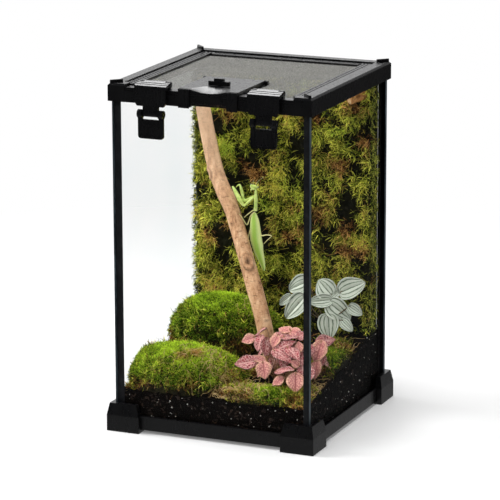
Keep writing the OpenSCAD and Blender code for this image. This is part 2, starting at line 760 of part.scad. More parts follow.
// Height of the roof's top face, which rises from the front to the roll
function roof_z(y) = latch_top + (y - latch_front) * (roll_z + roll_d / 2 - latch_top) / (roll_y - latch_front);

// A section in (y, z) extruded across the latch
module along_latch(width) {
    translate([-width / 2, 0, 0]) rotate([90, 0, 90]) linear_extrude(width) children();
}

module front_outline() {
    half = latch_w / 2;
    polygon([
        [-half, frame_bottom + latch_chamfer], [-half, latch_top - 0.8], [half, latch_top - 0.8],
        [half, frame_bottom + latch_chamfer], [half - latch_chamfer, neck_top],
        [-half + latch_chamfer, neck_top]
    ]);
}

module lever_pin() {
    color("silver") pin_along_x([-lever_w / 2 + 0.2, lever_y, lever_z], lever_w / 2 - 0.2, lever_pin_d);
}

// Pull lever: rounded plate with a slot under the neck and two ears on the pin
module lever() {
    ear = (lever_w - neck_w) / 2 - ear_gap;
    plate_h = lever_l - neck_d / 2 - slot_h;
    color([0.05, 0.05, 0.055]) difference() {
        union() {
            translate([0, lever_y + lever_t / 2, lever_z - lever_l]) rotate([90, 0, 0])
                linear_extrude(lever_t) hull() {
                    translate([0, plate_h - 1]) square([lever_w, 2], center = true);
                    for (side = [-1, 1]) translate([side * (lever_w / 2 - 3), 3]) circle(3);
                }
            along_latch(lever_w - 6) translate([lever_y - lever_t / 2 - 0.8, lever_z - lever_l + 0.4])
                square([1, 2]);
            for (side = [0, 1]) mirror([side, 0, 0]) translate([lever_w / 2 - ear / 2, 0, 0]) {
                along_latch(ear) translate([lever_y, lever_z]) circle(d = ear_d);
                along_latch(ear) translate([lever_y - lever_t / 2, lever_z - lever_l + plate_h - 1])
                    square([lever_t, lever_l - plate_h + 1]);
            }
        }
        along_latch(lever_w + 2) translate([lever_y, lever_z]) circle(d = lever_pin_d + 2 * pin_fit);
    }
}

// ---------- planting ----------

module soil() {
    notch = seal_bead + 0.3;
    color([0.09, 0.07, 0.055]) difference() {
        translate([-soil_x, 0, 0]) rotate([90, 0, 90]) linear_extrude(2 * soil_x) polygon([
            [-soil_y, floor_top], [soil_y, floor_top], [soil_y, soil_rear],
            [moss_foot, soil_rear], [-soil_y, soil_z(-soil_y)]
        ]);
        for (sx = [-1, 1], sy = [-1, 1]) translate([sx * soil_x, sy * soil_y, floor_top])
            linear_extrude(2 * soil_rear, center = true) square(2 * notch, center = true);
    }
}

module backing_board() {
    half = soil_x - seal_bead;
    color([0.16, 0.12, 0.09]) translate([-half, board_front, soil_rear])
        cube([2 * half, board_t, wall_top - soil_rear]);
}

// Closed solid from a grid of rows of points that face outwards, and a flat back
module relief(rows, back) {
    n = len(rows[0]);
    m = len(rows);
    points = concat([for (row = rows) each row], back);
    first_back = n * m;
    polyhedron(points, concat(
        [for (j = [0 : m - 2], i = [0 : n - 2]) [j * n + i, (j + 1) * n + i, j * n + i + 1]],
        [for (j = [0 : m - 2], i = [0 : n - 2]) [j * n + i + 1, (j + 1) * n + i, (j + 1) * n + i + 1]],
        [concat([for (i = [0 : n - 1]) i], [first_back + 1, first_back])],
        [concat([for (i = [n - 1 : -1 : 0]) (m - 1) * n + i], [first_back + 3, first_back + 2])],
        [concat([for (j = [m - 1 : -1 : 0]) j * n], [first_back, first_back + 3])],
        [concat([for (j = [0 : m - 1]) j * n + n - 1], [first_back + 2, first_back + 1])],
        [[first_back, first_back + 1, first_back + 2, first_back + 3]]
    ));
}

// Moss on the backing board: a lumpy slab that thins towards its edges
function moss_depth(u, v) = moss_t
    + moss_lump * (sin(u * 700 + 40 * sin(v * 500)) * cos(v * 900) + 0.6 * sin(u * 1900 + v * 1400))
    - 3 * pow(abs(2 * v - 1), 8) - 9 * pow(abs(2 * u - 1), 12);

module moss_wall() {
    columns = 14;
    levels = 20;
    rows = [for (j = [0 : levels]) [for (i = [0 : columns])
        [
            -soil_x + 2 * soil_x * i / columns,
            moss_back - moss_depth(i / columns, j / levels),
            soil_rear + (wall_top - soil_rear) * j / levels
        ]
    ]];
    back = [
        [-soil_x, moss_back, soil_rear], [soil_x, moss_back, soil_rear],
        [soil_x, moss_back, wall_top], [-soil_x, moss_back, wall_top]
    ];
    color([0.33, 0.38, 0.12]) difference() {
        relief(rows, back);
        stub_body();
    }
}

module stub_body() {
    run = stub_to - stub_from;
    heading = atan2(run[1], run[0]);
    translate(stub_from) rotate([0, acos(run[2] / norm(run)), heading])
        cylinder(r = stub_r, h = norm(run), $fn = 24);
}

module wood_stub() {
    color([0.6, 0.4, 0.25]) stub_body();
}

// Moss cushion on the slope of the soil: rings of points that swell and flatten out. The third number
// of its centre is its height
module moss_mound(centre, radius) {
    height = centre[2];
    steps = [1, 0.95, 0.85, 0.7, 0.5, 0.25];
    sectors = 20;
    ring_count = len(steps);
    rings = [for (k = [0 : ring_count - 1], s = [0 : sectors - 1])
        let (
            angle = 360 * s / sectors,
            wave = 1 + 0.04 * sin(3 * angle + 40) + 0.03 * sin(5 * angle),
            x = centre[0] + radius[0] * steps[k] * wave * cos(angle),
            y = centre[1] + radius[1] * steps[k] * wave * sin(angle),
            rise = height * sqrt(1 - pow(steps[k], 2.4)) * (1 + 0.03 * sin(4 * angle + 90 * k))
        )
        [x, y, soil_z(y) + rise]
    ];
    top = [centre[0], centre[1], soil_z(centre[1]) + height];
    last = (ring_count - 1) * sectors;
    polyhedron(concat(rings, [top]), concat(
        [[for (s = [0 : sectors - 1]) s]],
        [for (k = [0 : ring_count - 2], s = [0 : sectors - 1])
            [k * sectors + s, (k + 1) * sectors + s, k * sectors + (s + 1) % sectors]],
        [for (k = [0 : ring_count - 2], s = [0 : sectors - 1])
            [(k + 1) * sectors + s, (k + 1) * sectors + (s + 1) % sectors,
                k * sectors + (s + 1) % sectors]],
        [for (s = [0 : sectors - 1]) [last + s, ring_count * sectors, last + (s + 1) % sectors]]
    ));
}

// Keeps a moss cushion inside the panes and their corner beads
module inside_glass() {
    intersection() {
        children();
        translate([-soil_x, -soil_y, soil_front]) cube([2 * soil_x, 2 * soil_y, tank_h / 2]);
    }
}

module moss_front_left() {
    color([0.4, 0.52, 0.1]) inside_glass() moss_mound(spread([-48, -58, 25]), spread([60, 37]));
}

module moss_rear_left() {
    color([0.36, 0.5, 0.1]) inside_glass() moss_mound(spread([-36, 13, 49]), spread([60, 32]));
}

module moss_right() {
    color([0.35, 0.38, 0.12]) moss_mound(spread([78, 0, 10]), spread([17, 44]));
}

module moss_front_edge() {
    color([0.4, 0.45, 0.1]) moss_mound(spread([46, -83, 8]), spread([46, 11.5]));
}

// Points on a smooth curve through the route, and the direction of each
function smooth(p0, p1, p2, p3, t) = 0.5 * (2 * p1 + (p2 - p0) * t
    + (2 * p0 - 5 * p1 + 4 * p2 - p3) * t * t + (3 * p1 - p0 - 3 * p2 + p3) * t * t * t);
function route_point(route, i) = route[max(0, min(len(route) - 1, i))];
function curve(route, rings) = [
    for (i = [0 : len(route) - 2], k = [0 : rings - 1])
        smooth(route_point(route, i - 1), route[i], route[i + 1], route_point(route, i + 2), k / rings),
    route[len(route) - 1]
];

// The branch narrows a little towards its cut top and swells at its knots
function branch_radius(t) = branch_r * (0.94 + 0.1 * t + 0.07 * exp(-pow((t - 0.27) / 0.03, 2))
    + 0.06 * exp(-pow((t - 0.62) / 0.03, 2)));

module branch_body() {
    path = curve(branch_route, branch_rings);
    count = len(path);
    rings = [for (i = [0 : count - 1]) let (
        ahead = path[min(count - 1, i + 1)] - path[max(0, i - 1)],
        along = ahead / norm(ahead),
        side = cross(along, [0, 1, 0]) / norm(cross(along, [0, 1, 0])),
        up = cross(side, along),
        radius = branch_radius(i / (count - 1)) * (i == 0 ? 0.8 : 1)
    ) for (s = [0 : branch_sides - 1])
        path[i] + radius * (cos(360 * s / branch_sides) * side + sin(360 * s / branch_sides) * up)
    ];
    last = (count - 1) * branch_sides;
    difference() {
        polyhedron(rings, concat(
            [[for (s = [branch_sides - 1 : -1 : 0]) s], [for (s = [0 : branch_sides - 1]) last + s]],
            [for (i = [0 : count - 2], s = [0 : branch_sides - 1])
                [i * branch_sides + s, i * branch_sides + (s + 1) % branch_sides,
                    (i + 1) * branch_sides + s]],
            [for (i = [0 : count - 2], s = [0 : branch_sides - 1])
                [i * branch_sides + (s + 1) % branch_sides,
                    (i + 1) * branch_sides + (s + 1) % branch_sides, (i + 1) * branch_sides + s]]
        ));
        below_soil();
    }
}

module branch() {
    color([0.66, 0.47, 0.34]) branch_body();
}

// Teardrop leaf folded along its midrib, base at the origin, tip along +X: its outline runs from the
// base along the +Y edge to the tip and back
module leaf(length, width) {
    edge = [for (t = [0.12, 0.3, 0.5, 0.75]) [length * t, width / 2 * sin(180 * pow(t, 0.75))]];
    n = len(edge);
    back_edge = [for (i = [n - 1 : -1 : 0]) [edge[i][0], -edge[i][1]]];
    outline = concat([[0, 0]], edge, [[length, 0]], back_edge);
    count = len(outline);
    points = [for (z = [0, leaf_t], p = outline) [p[0], p[1], z + abs(p[1]) * tan(8)]];
    polyhedron(points, concat(
        [[for (k = [0 : n + 1]) count + k]],
        [concat([for (k = [n + 1 : count - 1]) count + k], [count])],
        [[for (k = [n + 1 : -1 : 0]) k]],
        [concat([0], [for (k = [count - 1 : -1 : n + 1]) k])],
        [for (k = [0 : count - 1]) [k, (k + 1) % count, count + (k + 1) % count, count + k]]
    ));
}

module stem(from, to) {
    hull() {
        translate(from) sphere(stem_r, $fn = 6);
        translate(to) sphere(stem_r, $fn = 6);
    }
}

// Loose dome of leaves that hang outwards, each on its own stem
module pink_plant() {
    root = [pink_centre[0], pink_centre[1], soil_z(pink_centre[1])];
    color([0.8, 0.45, 0.48]) difference() {
        union() {
            translate(root) sphere(pink_crown_r, $fn = 12);
            for (i = [0 : pink_leaves - 1]) {
                item = pink_places[i];
                place = seat([item[0], item[1], item[2]]);
                translate(place) rotate([0, -item[4], item[3]]) rotate([item[5], 0, 0])
                    leaf(pink_leaf_l * item[6] * share[0], pink_leaf_w * item[7] * share[0]);
                stem(root, place);
            }
        }
        below_soil();
    }
}

module below_soil() {
    translate([-soil_x, 0, 0]) rotate([90, 0, 90]) linear_extrude(2 * soil_x) polygon([
        [-soil_y, 0], [moss_foot, 0], [moss_foot, soil_rear], [-soil_y, soil_z(-soil_y)]
    ]);
}

// Loose fan of broad leaves that faces the front
module silver_plant() {
    root = [silver_root[0], silver_root[1], soil_z(silver_root[1]) + stem_r];
    crown = silver_centre - [0, 0, silver_crown];
    color([0.68, 0.75, 0.66]) difference() {
        union() {
            stem(root, crown);
            for (item = silver_leaves) {
                base = silver_centre + turned([item[0], item[1], 0]);
                stem(crown, base);
                translate(silver_centre) rotate([0, 0, silver_turn]) rotate([silver_tilt, 0, 0])
                    translate([item[0], item[1], 0]) rotate([0, 0, item[2]]) leaf(item[3], item[4]);
            }
        }
        below_soil();
    }
}

// A point of the silver plant's own plane in the frame of the tank
function turned(p) = [
    p[0] * cos(silver_turn) - p[1] * cos(silver_tilt) * sin(silver_turn),
    p[0] * sin(silver_turn) + p[1] * cos(silver_tilt) * cos(silver_turn),
    p[1] * sin(silver_tilt)
];

module limb(points, radius) {
    for (i = [0 : len(points) - 2]) hull() {
        translate(points[i]) sphere(radius, $fn = 6);
        translate(points[i + 1]) sphere(radius * 0.8, $fn = 6);
    }
}

// Slender mantis that climbs the branch: leaf-shaped wings, long thorax, six legs
module mantis_body() {
    hull() {
        translate([-0.6, 12, 199]) sphere(2.2, $fn = 12);
        translate([1, 13, 176]) sphere(4.6, $fn = 12);
        translate([3, 13.5, 164]) sphere(4.2, $fn = 12);
        translate([7.5, 14, 143]) sphere(1, $fn = 8);
    }
    hull() {
        translate([-1, 12, 201]) sphere(1.9, $fn = 12);
        translate([-2.2, 11.5, 219]) sphere(1.6, $fn = 12);
    }
    hull() {
        translate([-4.4, 11, 225]) sphere(1.5, $fn = 12);
        translate([-0.6, 11, 224.5]) sphere(1.5, $fn = 12);
        translate([-3, 10.4, 220.6]) sphere(1, $fn = 12);
    }
    limb([[-3, 11, 214], [-14.3, 9.5, 204], [-25, 9, 222]], 1.3);
    limb([[-3, 12.5, 213], [-11.6, 13, 207], [-17.5, 12, 225]], 1.3);
    limb([[-1.5, 11, 200], [-13.5, 10, 193], [-18.4, 9, 198]], 0.8);
    limb([[-1.5, 12.5, 198], [-10.5, 13, 184], [-13.2, 10, 178]], 0.8);
    limb([[-0.5, 12, 190], [13, 12, 180], [5, 13, 166], [3, 13, 163]], 0.8);
    limb([[0, 11, 186], [-6, 9, 170], [-3, 7, 164]], 0.8);
    limb([[-2, 11, 226], [3, 9, 233], [7, 8, 236.5]], 0.6);
}

// The claws close round the bark, so the branch is cut out of them
module mantis_figure() {
    color([0.5, 0.7, 0.3]) difference() {
        translate([0, 0, soil_front]) scale(share) translate([0, 0, -drawn_soil]) mantis_body();
        branch_body();
    }
}

// ---------- nodes ----------

foot(-1, -1);  // foot_front_left
foot(1, -1);  // foot_front_right
foot(-1, 1);  // foot_rear_left
foot(1, 1);  // foot_rear_right
on_front() base_rail(rail_y, rail_x, 0);  // base_rail_front
on_rear() base_rail(rail_y, rail_x, 0);  // base_rail_rear
on_left() base_rail(rail_x, rail_y - rail_ledge, glass_y);  // base_rail_left
base_rail(rail_x, rail_y - rail_ledge, glass_y);  // base_rail_right
floor_glass();
floor_seal();
pane(glass_x, -glass_y, -inner_y, pane_bottom, pane_top);  // front_glass
pane(glass_x, inner_y, glass_y, pane_bottom, pane_top);  // rear_glass
on_left() side_pane();  // left_glass
side_pane();  // right_glass
corner_seals();
top_rail_front();
top_rail_rear();
on_left() top_rail_side();  // top_rail_left
top_rail_side();  // top_rail_right
top_corner(-1, -1);  // top_corner_front_left
top_corner(1, -1);  // top_corner_front_right
top_corner(-1, 1);  // top_corner_rear_left
top_corner(1, 1);  // top_corner_rear_right
soil();
backing_board();
moss_wall();
moss_front_left();
moss_rear_left();
moss_right();
moss_front_edge();
branch();
wood_stub();
silver_plant();
pink_plant();
mantis_figure();
lid_bar_front();
lid_bar_rear();
on_left() lid_bar_side();  // lid_bar_left
lid_bar_side();  // lid_bar_right
on_left() screen_side();  // screen_left
screen_side();  // screen_right
screen_rear();
port_surround();
lid_hinge_pins();
hatch_hinge_pins();
latch_hinge_pins();
hatch_plate();
lock_knob();
lock_tongue();
lock_washer();
translate([-latch_x, 0, 0]) latch();  // latch_left
translate([latch_x, 0, 0]) latch();  // latch_right
translate([-latch_x, 0, 0]) lever_pin();  // lever_pin_left
translate([latch_x, 0, 0]) lever_pin();  // lever_pin_right
translate([-latch_x, 0, 0]) lever();  // lever_left
translate([latch_x, 0, 0]) lever();  // lever_right
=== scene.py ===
import json
import math

import bmesh
import bpy
import numpy as np
from mathutils import Matrix, Vector, noise


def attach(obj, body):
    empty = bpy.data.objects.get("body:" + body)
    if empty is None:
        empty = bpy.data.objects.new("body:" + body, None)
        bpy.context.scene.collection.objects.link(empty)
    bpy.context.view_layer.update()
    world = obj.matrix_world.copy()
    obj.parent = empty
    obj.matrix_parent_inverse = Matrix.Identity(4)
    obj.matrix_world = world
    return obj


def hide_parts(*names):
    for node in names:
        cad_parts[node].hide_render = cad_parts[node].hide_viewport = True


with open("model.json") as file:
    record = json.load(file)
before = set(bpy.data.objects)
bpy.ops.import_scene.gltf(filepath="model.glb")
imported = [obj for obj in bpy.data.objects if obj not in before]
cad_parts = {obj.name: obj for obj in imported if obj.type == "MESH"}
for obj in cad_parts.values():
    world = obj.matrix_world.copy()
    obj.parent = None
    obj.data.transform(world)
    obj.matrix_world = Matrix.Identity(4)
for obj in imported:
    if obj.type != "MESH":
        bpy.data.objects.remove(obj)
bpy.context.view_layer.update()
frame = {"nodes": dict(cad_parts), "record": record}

nodes = frame["nodes"]
mm = 0.001
print("frame loaded,", len(nodes), "nodes")

# The planted space inside the panes, as the CAD has it
tank = {
    "half": 95.9 * mm,         # half width between the panes
    "inside": 96 * mm,         # inner face of the panes
    "soilBottom": 10 * mm,
    "soilFront": 40 * mm,      # soil at the front glass
    "soilRear": 70 * mm,       # soil at the foot of the moss wall
    "soilSlope": 0.1858,
}


def soilAt(y):
    slope = tank["soilFront"] + tank["soilSlope"] * (y + tank["inside"])
    return np.minimum(slope, tank["soilRear"])


# Small tools for node materials

def paint(red, green, blue):  # screen values to the linear colour that a shader wants
    values = [c / 255 for c in (red, green, blue)]
    return tuple(((c + 0.055) / 1.055) ** 2.4 if c > 0.04 else c / 12.92 for c in values) + (1,)


def grey(level):
    return level, level, level, 1


bench = {}      # the node tree in hand, and its shader


def openTree(owner):  # of a material or a world
    owner.use_nodes = True
    bench["tree"] = owner.node_tree
    return owner


def clearTree(owner):
    openTree(owner).node_tree.nodes.clear()
    return owner


def feed(node, inputs):  # links sockets and sets plain values
    for key, value in inputs.items():
        if isinstance(value, bpy.types.NodeSocket):
            bench["tree"].links.new(value, node.inputs[key])
        else:
            node.inputs[key].default_value = value


def startMaterial(name, values=None):
    material = openTree(bpy.data.materials.new(name))
    bench["shader"] = bench["tree"].nodes["Principled BSDF"]
    feed(bench["shader"], values or {})
    return material


def add(kind, inputs=None, **settings):
    made = bench["tree"].nodes.new("ShaderNode" + kind)
    for key, value in settings.items():
        setattr(made, key, value)
    feed(made, inputs or {})
    return made


def cloud(scale, detail=3, stretch=None, rough=0.5):
    where = add("TexCoord").outputs["Object"]
    if stretch:
        where = add("Mapping", {"Vector": where, "Scale": stretch}).outputs[0]
    spots = add("TexNoise", {"Vector": where, "Scale": scale, "Detail": detail, "Roughness": rough})
    return spots.outputs["Fac"]


def ramp(factor, stops):
    made = add("ValToRGB", {"Fac": factor})
    band = made.color_ramp
    band.elements[0].position, band.elements[0].color = stops[0]
    band.elements[1].position, band.elements[1].color = stops[-1]
    for spot, colour in stops[1:-1]:
        band.elements.new(spot).color = colour
    return made.outputs["Color"]


def fade(factor, low, high, start=0, end=1):  # from one grey to another
    return ramp(factor, [(low, grey(start)), (high, grey(end))])


def calc(operation, first, second=0.0):
    return add("Math", {0: first, 1: second}, operation=operation).outputs[0]


def times(first, second):
    return calc("MULTIPLY", first, second)


def plus(first, second):
    return calc("ADD", first, second)


def swing(value, size):  # turns a value between 0 and 1 into one on both sides of 0
    return times(calc("SUBTRACT", value, 0.5), size)


def ripple(value):
    return calc("ABSOLUTE", calc("SINE", value))


def span(value, fromLow, fromHigh, toLow, toHigh):
    made = add("MapRange", {"Value": value, "From Min": fromLow, "From Max": fromHigh,
                            "To Min": toLow, "To Max": toHigh})
    return made.outputs["Result"]


def mixed(factor, first, second, how="MIX"):
    made = add("MixRGB", {"Fac": factor, "Color1": first, "Color2": second}, blend_type=how)
    return made.outputs["Color"]


def blend(share, first, second):  # of two shaders
    return add("MixShader", {0: share, 1: first, 2: second}).outputs[0]


def patchy(scale, detail, low, high, stretch=None):  # two colours in soft patches
    return ramp(cloud(scale, detail, stretch), [(0.3, low), (0.7, high)])


def uneven(scale, detail, low, high, stretch=None):  # a value that drifts between two
    return span(cloud(scale, detail, stretch), 0.3, 0.7, low, high)


def surface(colour, height, depth, strength=1.0, rough=None):  # what the shader gets at last
    bump = add("Bump", {"Height": height, "Distance": depth, "Strength": strength})
    feed(bench["shader"], {"Base Color": colour, "Normal": bump.outputs["Normal"]})
    if rough is not None:
        feed(bench["shader"], {"Roughness": rough})


def held(name):  # a value that the mesh carries at each point
    return add("Attribute", attribute_name=name)


# Finishes of the hard parts

plastic = {
    "body": (paint(4, 4, 5), paint(9, 9, 10)),
    "gloss": (0.24, 0.36),         # lowest and highest roughness
    "handledGloss": (0.2, 0.32),   # the same for knob, latches and levers
    "coat": 0.4, "coatRough": 0.22, "ior": 1.5,
    "grain": 0.04 * mm, "grainScale": 2600,
}


def makePlastic(name, gloss):
    material = startMaterial(name, {
        "IOR": plastic["ior"], "Coat Weight": plastic["coat"],
        "Coat Roughness": plastic["coatRough"]})
    surface(patchy(60, 4, *plastic["body"]), cloud(plastic["grainScale"], 2), plastic["grain"],
            0.5, uneven(240, 5, *gloss, stretch=(1, 1, 0.35)))
    return material


glass = {
    "face": (paint(251, 252, 252), paint(253, 253, 253)),    # what one face lets through
    "edge": (paint(24, 34, 38), paint(84, 98, 106)), "edgeRough": 0.3,
    "shine": 0.1,                    # share of the plain mirror image, as on coated glass
    "smears": (0.02, 0.07),          # lowest and highest roughness of that image
    "ior": 1.45,
}


def makeGlass(name, axis):  # the cut edges are those whose normal is off the pane's own axis
    material = clearTree(bpy.data.materials.new(name))
    shape = add("NewGeometry")
    facing = add("VectorMath", {0: shape.outputs["Normal"], 1: axis}, operation="DOT_PRODUCT")
    onFace = calc("GREATER_THAN", calc("ABSOLUTE", facing.outputs["Value"]), 0.5)
    sideIor = span(shape.outputs["Backfacing"], 0, 1, glass["ior"], 1 / glass["ior"])
    mirror = times(add("Fresnel", {"IOR": sideIor}).outputs[0], glass["shine"])
    clear = add("BsdfTransparent", {"Color": patchy(18, 2, *glass["face"])})
    gloss = add("BsdfGlossy", {"Roughness": uneven(30, 3, *glass["smears"])})
    cut = add("BsdfPrincipled", {
        "Roughness": glass["edgeRough"],
        "Base Color": patchy(90, 3, *glass["edge"], stretch=(1, 1, 0.3))})
    face = blend(mirror, clear.outputs[0], gloss.outputs[0])
    whole = blend(onFace, cut.outputs[0], face)
    add("OutputMaterial", {"Surface": whole})
    return material


def makeSimple(name, low, high, scale, rough, grainScale, grain, values=None, stretch=None):
    material = startMaterial(name, values)
    surface(patchy(scale, 4, low, high, stretch), cloud(grainScale, 3, stretch), grain,
            rough=uneven(scale * 3, 3, *rough, stretch))
    return material


finishes = {
    "black_plastic": makePlastic("mouldedBlack", plastic["gloss"]),
    "black_silicone": makeSimple("blackSilicone", paint(14, 15, 17), paint(26, 27, 30), 120,
                                 (0.45, 0.65), 500, 0.08 * mm),
    "screen_wire": makeSimple("coatedWire", paint(96, 96, 95), paint(172, 171, 166), 900,
                              (0.3, 0.45), 4000, 0.02 * mm, {"Metallic": 0.5}),
    "pin_steel": makeSimple("pinSteel", paint(120, 121, 124), paint(168, 169, 172), 700,
                            (0.22, 0.38), 3000, 0.02 * mm, {"Metallic": 1.0}, (0.2, 1, 1)),
    "board": makeSimple("corkBoard", paint(52, 38, 27), paint(104, 78, 54), 380,
                        (0.75, 0.95), 900, 0.5 * mm),
}
paneAxes = {
    "front_glass": (0, 1, 0), "rear_glass": (0, 1, 0), "left_glass": (1, 0, 0),
    "right_glass": (1, 0, 0), "floor_glass": (0, 0, 1),
}
handledFinish = makePlastic("mouldedBlackKnob", plastic["handledGloss"])
handled = {"lock_knob", "latch_left", "latch_right", "lever_left", "lever_right"}
slotOf = {part["node"]: part["material_slot"] for part in frame["record"]["subparts"]}


def dress(piece, finish):
    if not piece.material_slots:
        piece.data.materials.append(finish)
    for place in piece.material_slots:
        place.material = finish


for node, slotName in slotOf.items():
    if node in paneAxes:
        dress(nodes[node], makeGlass(node + "_clear", paneAxes[node]))
    elif slotName in finishes:
        dress(nodes[node], handledFinish if node in handled else finishes[slotName])

# Moulded edges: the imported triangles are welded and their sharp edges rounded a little
edges = {"weld": 0.005 * mm, "round": 0.45 * mm, "angle": math.radians(40), "steps": 2}
for node, slotName in slotOf.items():
    if slotName == "black_plastic":
        weld = nodes[node].modifiers.new("weld", "WELD")
        weld.merge_threshold = edges["weld"]
        bevel = nodes[node].modifiers.new("roundEdges", "BEVEL")
        bevel.width, bevel.segments = edges["round"], edges["steps"]
        bevel.limit_method, bevel.angle_limit = "ANGLE", edges["angle"]
print("hard parts finished")


# Small tools for meshes

def placeObject(name, data):
    made = bpy.data.objects.new(name, data)
    bpy.context.scene.collection.objects.link(made)
    return made


def makePiece(name, points, faces, materials, slotName, body="tank", carried=None, smooth=True,
              faceFinish=None):
    mesh = bpy.data.meshes.new(name)
    mesh.from_pydata(np.asarray(points, float).tolist(), [], [list(map(int, f)) for f in faces])
    for material in materials:
        mesh.materials.append(material)
    if faceFinish is not None:
        mesh.polygons.foreach_set("material_index", np.asarray(faceFinish, np.int32))
    for key, values in (carried or {}).items():
        values = np.asarray(values, np.float32)
        kind, field = ("FLOAT_VECTOR", "vector") if values.ndim == 2 else ("FLOAT", "value")
        mesh.attributes.new(key, kind, "POINT").data.foreach_set(field, values.ravel())
    if smooth:
        mesh.shade_smooth()
    piece = placeObject(name, mesh)
    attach(piece, body)
    return piece


def unit(vectors):
    return vectors / np.maximum(np.linalg.norm(vectors, axis=-1, keepdims=True), 1e-12)


def seeded(number):
    return np.random.default_rng(number)


def circle(sides):  # angles once round
    return np.linspace(0, 2 * math.pi, sides, endpoint=False)


def anyWay(rng, count):
    return unit(rng.normal(size=(count, 3)))


def fractalAt(points, size, octaves=3, shift=0.0):  # about -1 to 1 at each point
    offset = Vector((shift, 2.3 * shift, -1.7 * shift))
    scaled = np.asarray(points, float) / np.asarray(size, float)
    return np.array([noise.fractal(Vector(p) + offset, 0.9, 2.1, octaves) for p in scaled])


def gridFaces(rows, columns, around=False):
    return [(r * columns + c, r * columns + (c + 1) % columns,
             (r + 1) * columns + (c + 1) % columns, (r + 1) * columns + c)
            for r in range(rows - 1) for c in range(columns if around else columns - 1)]


def gridRim(rows, columns):  # the border points of a grid, once round
    return (list(range(columns)) + [r * columns + columns - 1 for r in range(1, rows)]
            + [(rows - 1) * columns + c for c in range(columns - 2, -1, -1)]
            + [r * columns for r in range(rows - 2, 0, -1)])


def bandFaces(upper, lower):  # quads between two closed rows of points
    after = [*range(1, len(upper)), 0]
    return [(upper[j], upper[i], lower[i], lower[j]) for i, j in enumerate(after)]


def tube(path, radii, sides, flat=1.0, flatWay=(0, 1, 0)):
    # closed tube round a path; flat squeezes it along flatWay
    path = np.asarray(path, float)
    count = len(path)
    radii = np.broadcast_to(np.asarray(radii, float), (count,))
    along = unit(np.gradient(path, axis=0))
    side = unit(np.cross(along, np.asarray(flatWay, float)))
    up = unit(np.cross(side, along))
    turn = circle(sides)[None, :, None]
    ring = np.cos(turn) * side[:, None] + flat * np.sin(turn) * up[:, None]
    points = (path[:, None] + radii[:, None, None] * ring).reshape(-1, 3)
    ends = [tuple(range(sides))[::-1], tuple((count - 1) * sides + s for s in range(sides))]
    return points, gridFaces(count, sides, around=True) + ends


def merge(parts):  # joins several (points, faces) into one
    points, faces, first = [], [], 0
    for somePoints, someFaces in parts:
        points.append(somePoints)
        faces += [tuple(first + v for v in f) for f in someFaces]
        first += len(somePoints)
    return np.concatenate(points), faces


def smoothPath(knots, steps):  # Catmull-Rom through the knots
    knots = np.asarray(knots, float)
    padded = np.vstack([knots[:1], knots, knots[-1:]])
    out = []
    for i in range(len(knots) - 1):
        a, b, c, d = padded[i:i + 4]
        for t in np.linspace(0, 1, steps, endpoint=False):
            out.append(0.5 * (2 * b + (c - a) * t + (2 * a - 5 * b + 4 * c - d) * t * t
                              + (3 * b - a - 3 * c + d) * t ** 3))
    out.append(knots[-1])
    return np.array(out)


# Moss

mossLook = {
    "shade": paint(16, 18, 6), "leaf": paint(98, 114, 20), "tip": paint(236, 234, 92),
    "lushLeaf": paint(88, 126, 14), "lushTip": paint(200, 226, 62), "lime": paint(196, 226, 78),
    "dryShade": paint(30, 19, 10), "dryLeaf": paint(116, 72, 32), "dryTip": paint(212, 162, 92),
    "room": ((-95.7 * mm, -95.7 * mm, 11 * mm), (95.7 * mm, 95.7 * mm, 321.4 * mm)),
}
tufts = {  # leaves in each, scatter, spread, bend, fall, length from and to, width from and to
    "wall": (9, 1.1, 1.15, 0.8, 0.45, (4.5, 10), (0.45, 0.85)),
    "wallShoots": (2, 1.5, 1.6, 1.2, 0.5, (10, 18), (0.4, 0.7)),
    "wallEnds": (7, 1.2, 1.2, 0.8, 0.4, (4, 8), (0.5, 0.9)),
    "mound": (11, 0.7, 0.95, 0.5, 0.1, (2.8, 5.4), (0.42, 0.75)),
    "moundShoots": (4, 1.2, 1.3, 1.0, 0.5, (5, 11), (0.4, 0.75)),
    "cover": (8, 1.2, 1.3, 0.7, 0.25, (2.6, 6), (0.45, 0.9)),
}


def makeMoss(name, leaf, tip):
    material = startMaterial(name, {"Roughness": 0.62, "Specular IOR Level": 0.3})
    along, dry = (held(key).outputs["Fac"] for key in ("along", "dry"))
    chance = add("NewGeometry").outputs["Random Per Island"]
    # each leaf runs from a painted shade colour at its foot to a pale tip, which is partly the real
    # paler tip and partly painted light; a tuft's lit value, carried in along, moves it along this
    # ramp
    reach = plus(along, swing(chance, 0.7))
    reach = plus(reach, swing(cloud(70, 3), 0.9))
    green = ramp(reach, [(0, mossLook["shade"]), (0.45, leaf), (1, tip)])
    brown = ramp(reach, [(0, mossLook["dryShade"]), (0.5, mossLook["dryLeaf"]),
                         (1, mossLook["dryTip"])])
    dryness = plus(dry, swing(chance, 0.35))
    colour = mixed(fade(dryness, 0.35, 0.7), green, brown)
    fresh = fade(times(dryness, -1), 0.05, 0.3, 0, 0.7)
    colour = mixed(times(fresh, along), colour, mossLook["lime"])
    surface(colour, cloud(1600, 2), 0.15 * mm)
    return material


wallMoss = makeMoss("wallMoss", mossLook["leaf"], mossLook["tip"])
lushMoss = makeMoss("lushMoss", mossLook["lushLeaf"], mossLook["lushTip"])
# near-black base under the tufts: partly the dark under-layer of the moss, partly painted shade in
# the gaps between tufts
mossBaseInShade = makeSimple("mossBaseInShade", paint(7, 8, 3), paint(30, 30, 12), 260, (0.85, 0.98), 1500,
                      0.6 * mm)
# near-black under-layer of the cushions: partly dark roots, partly painted shade in the gaps
# between tufts
mossRootsInShade = makeSimple("mossRootsInShade", paint(12, 10, 5), paint(40, 38, 14), 300, (0.85, 0.98), 1500,
                       0.6 * mm)


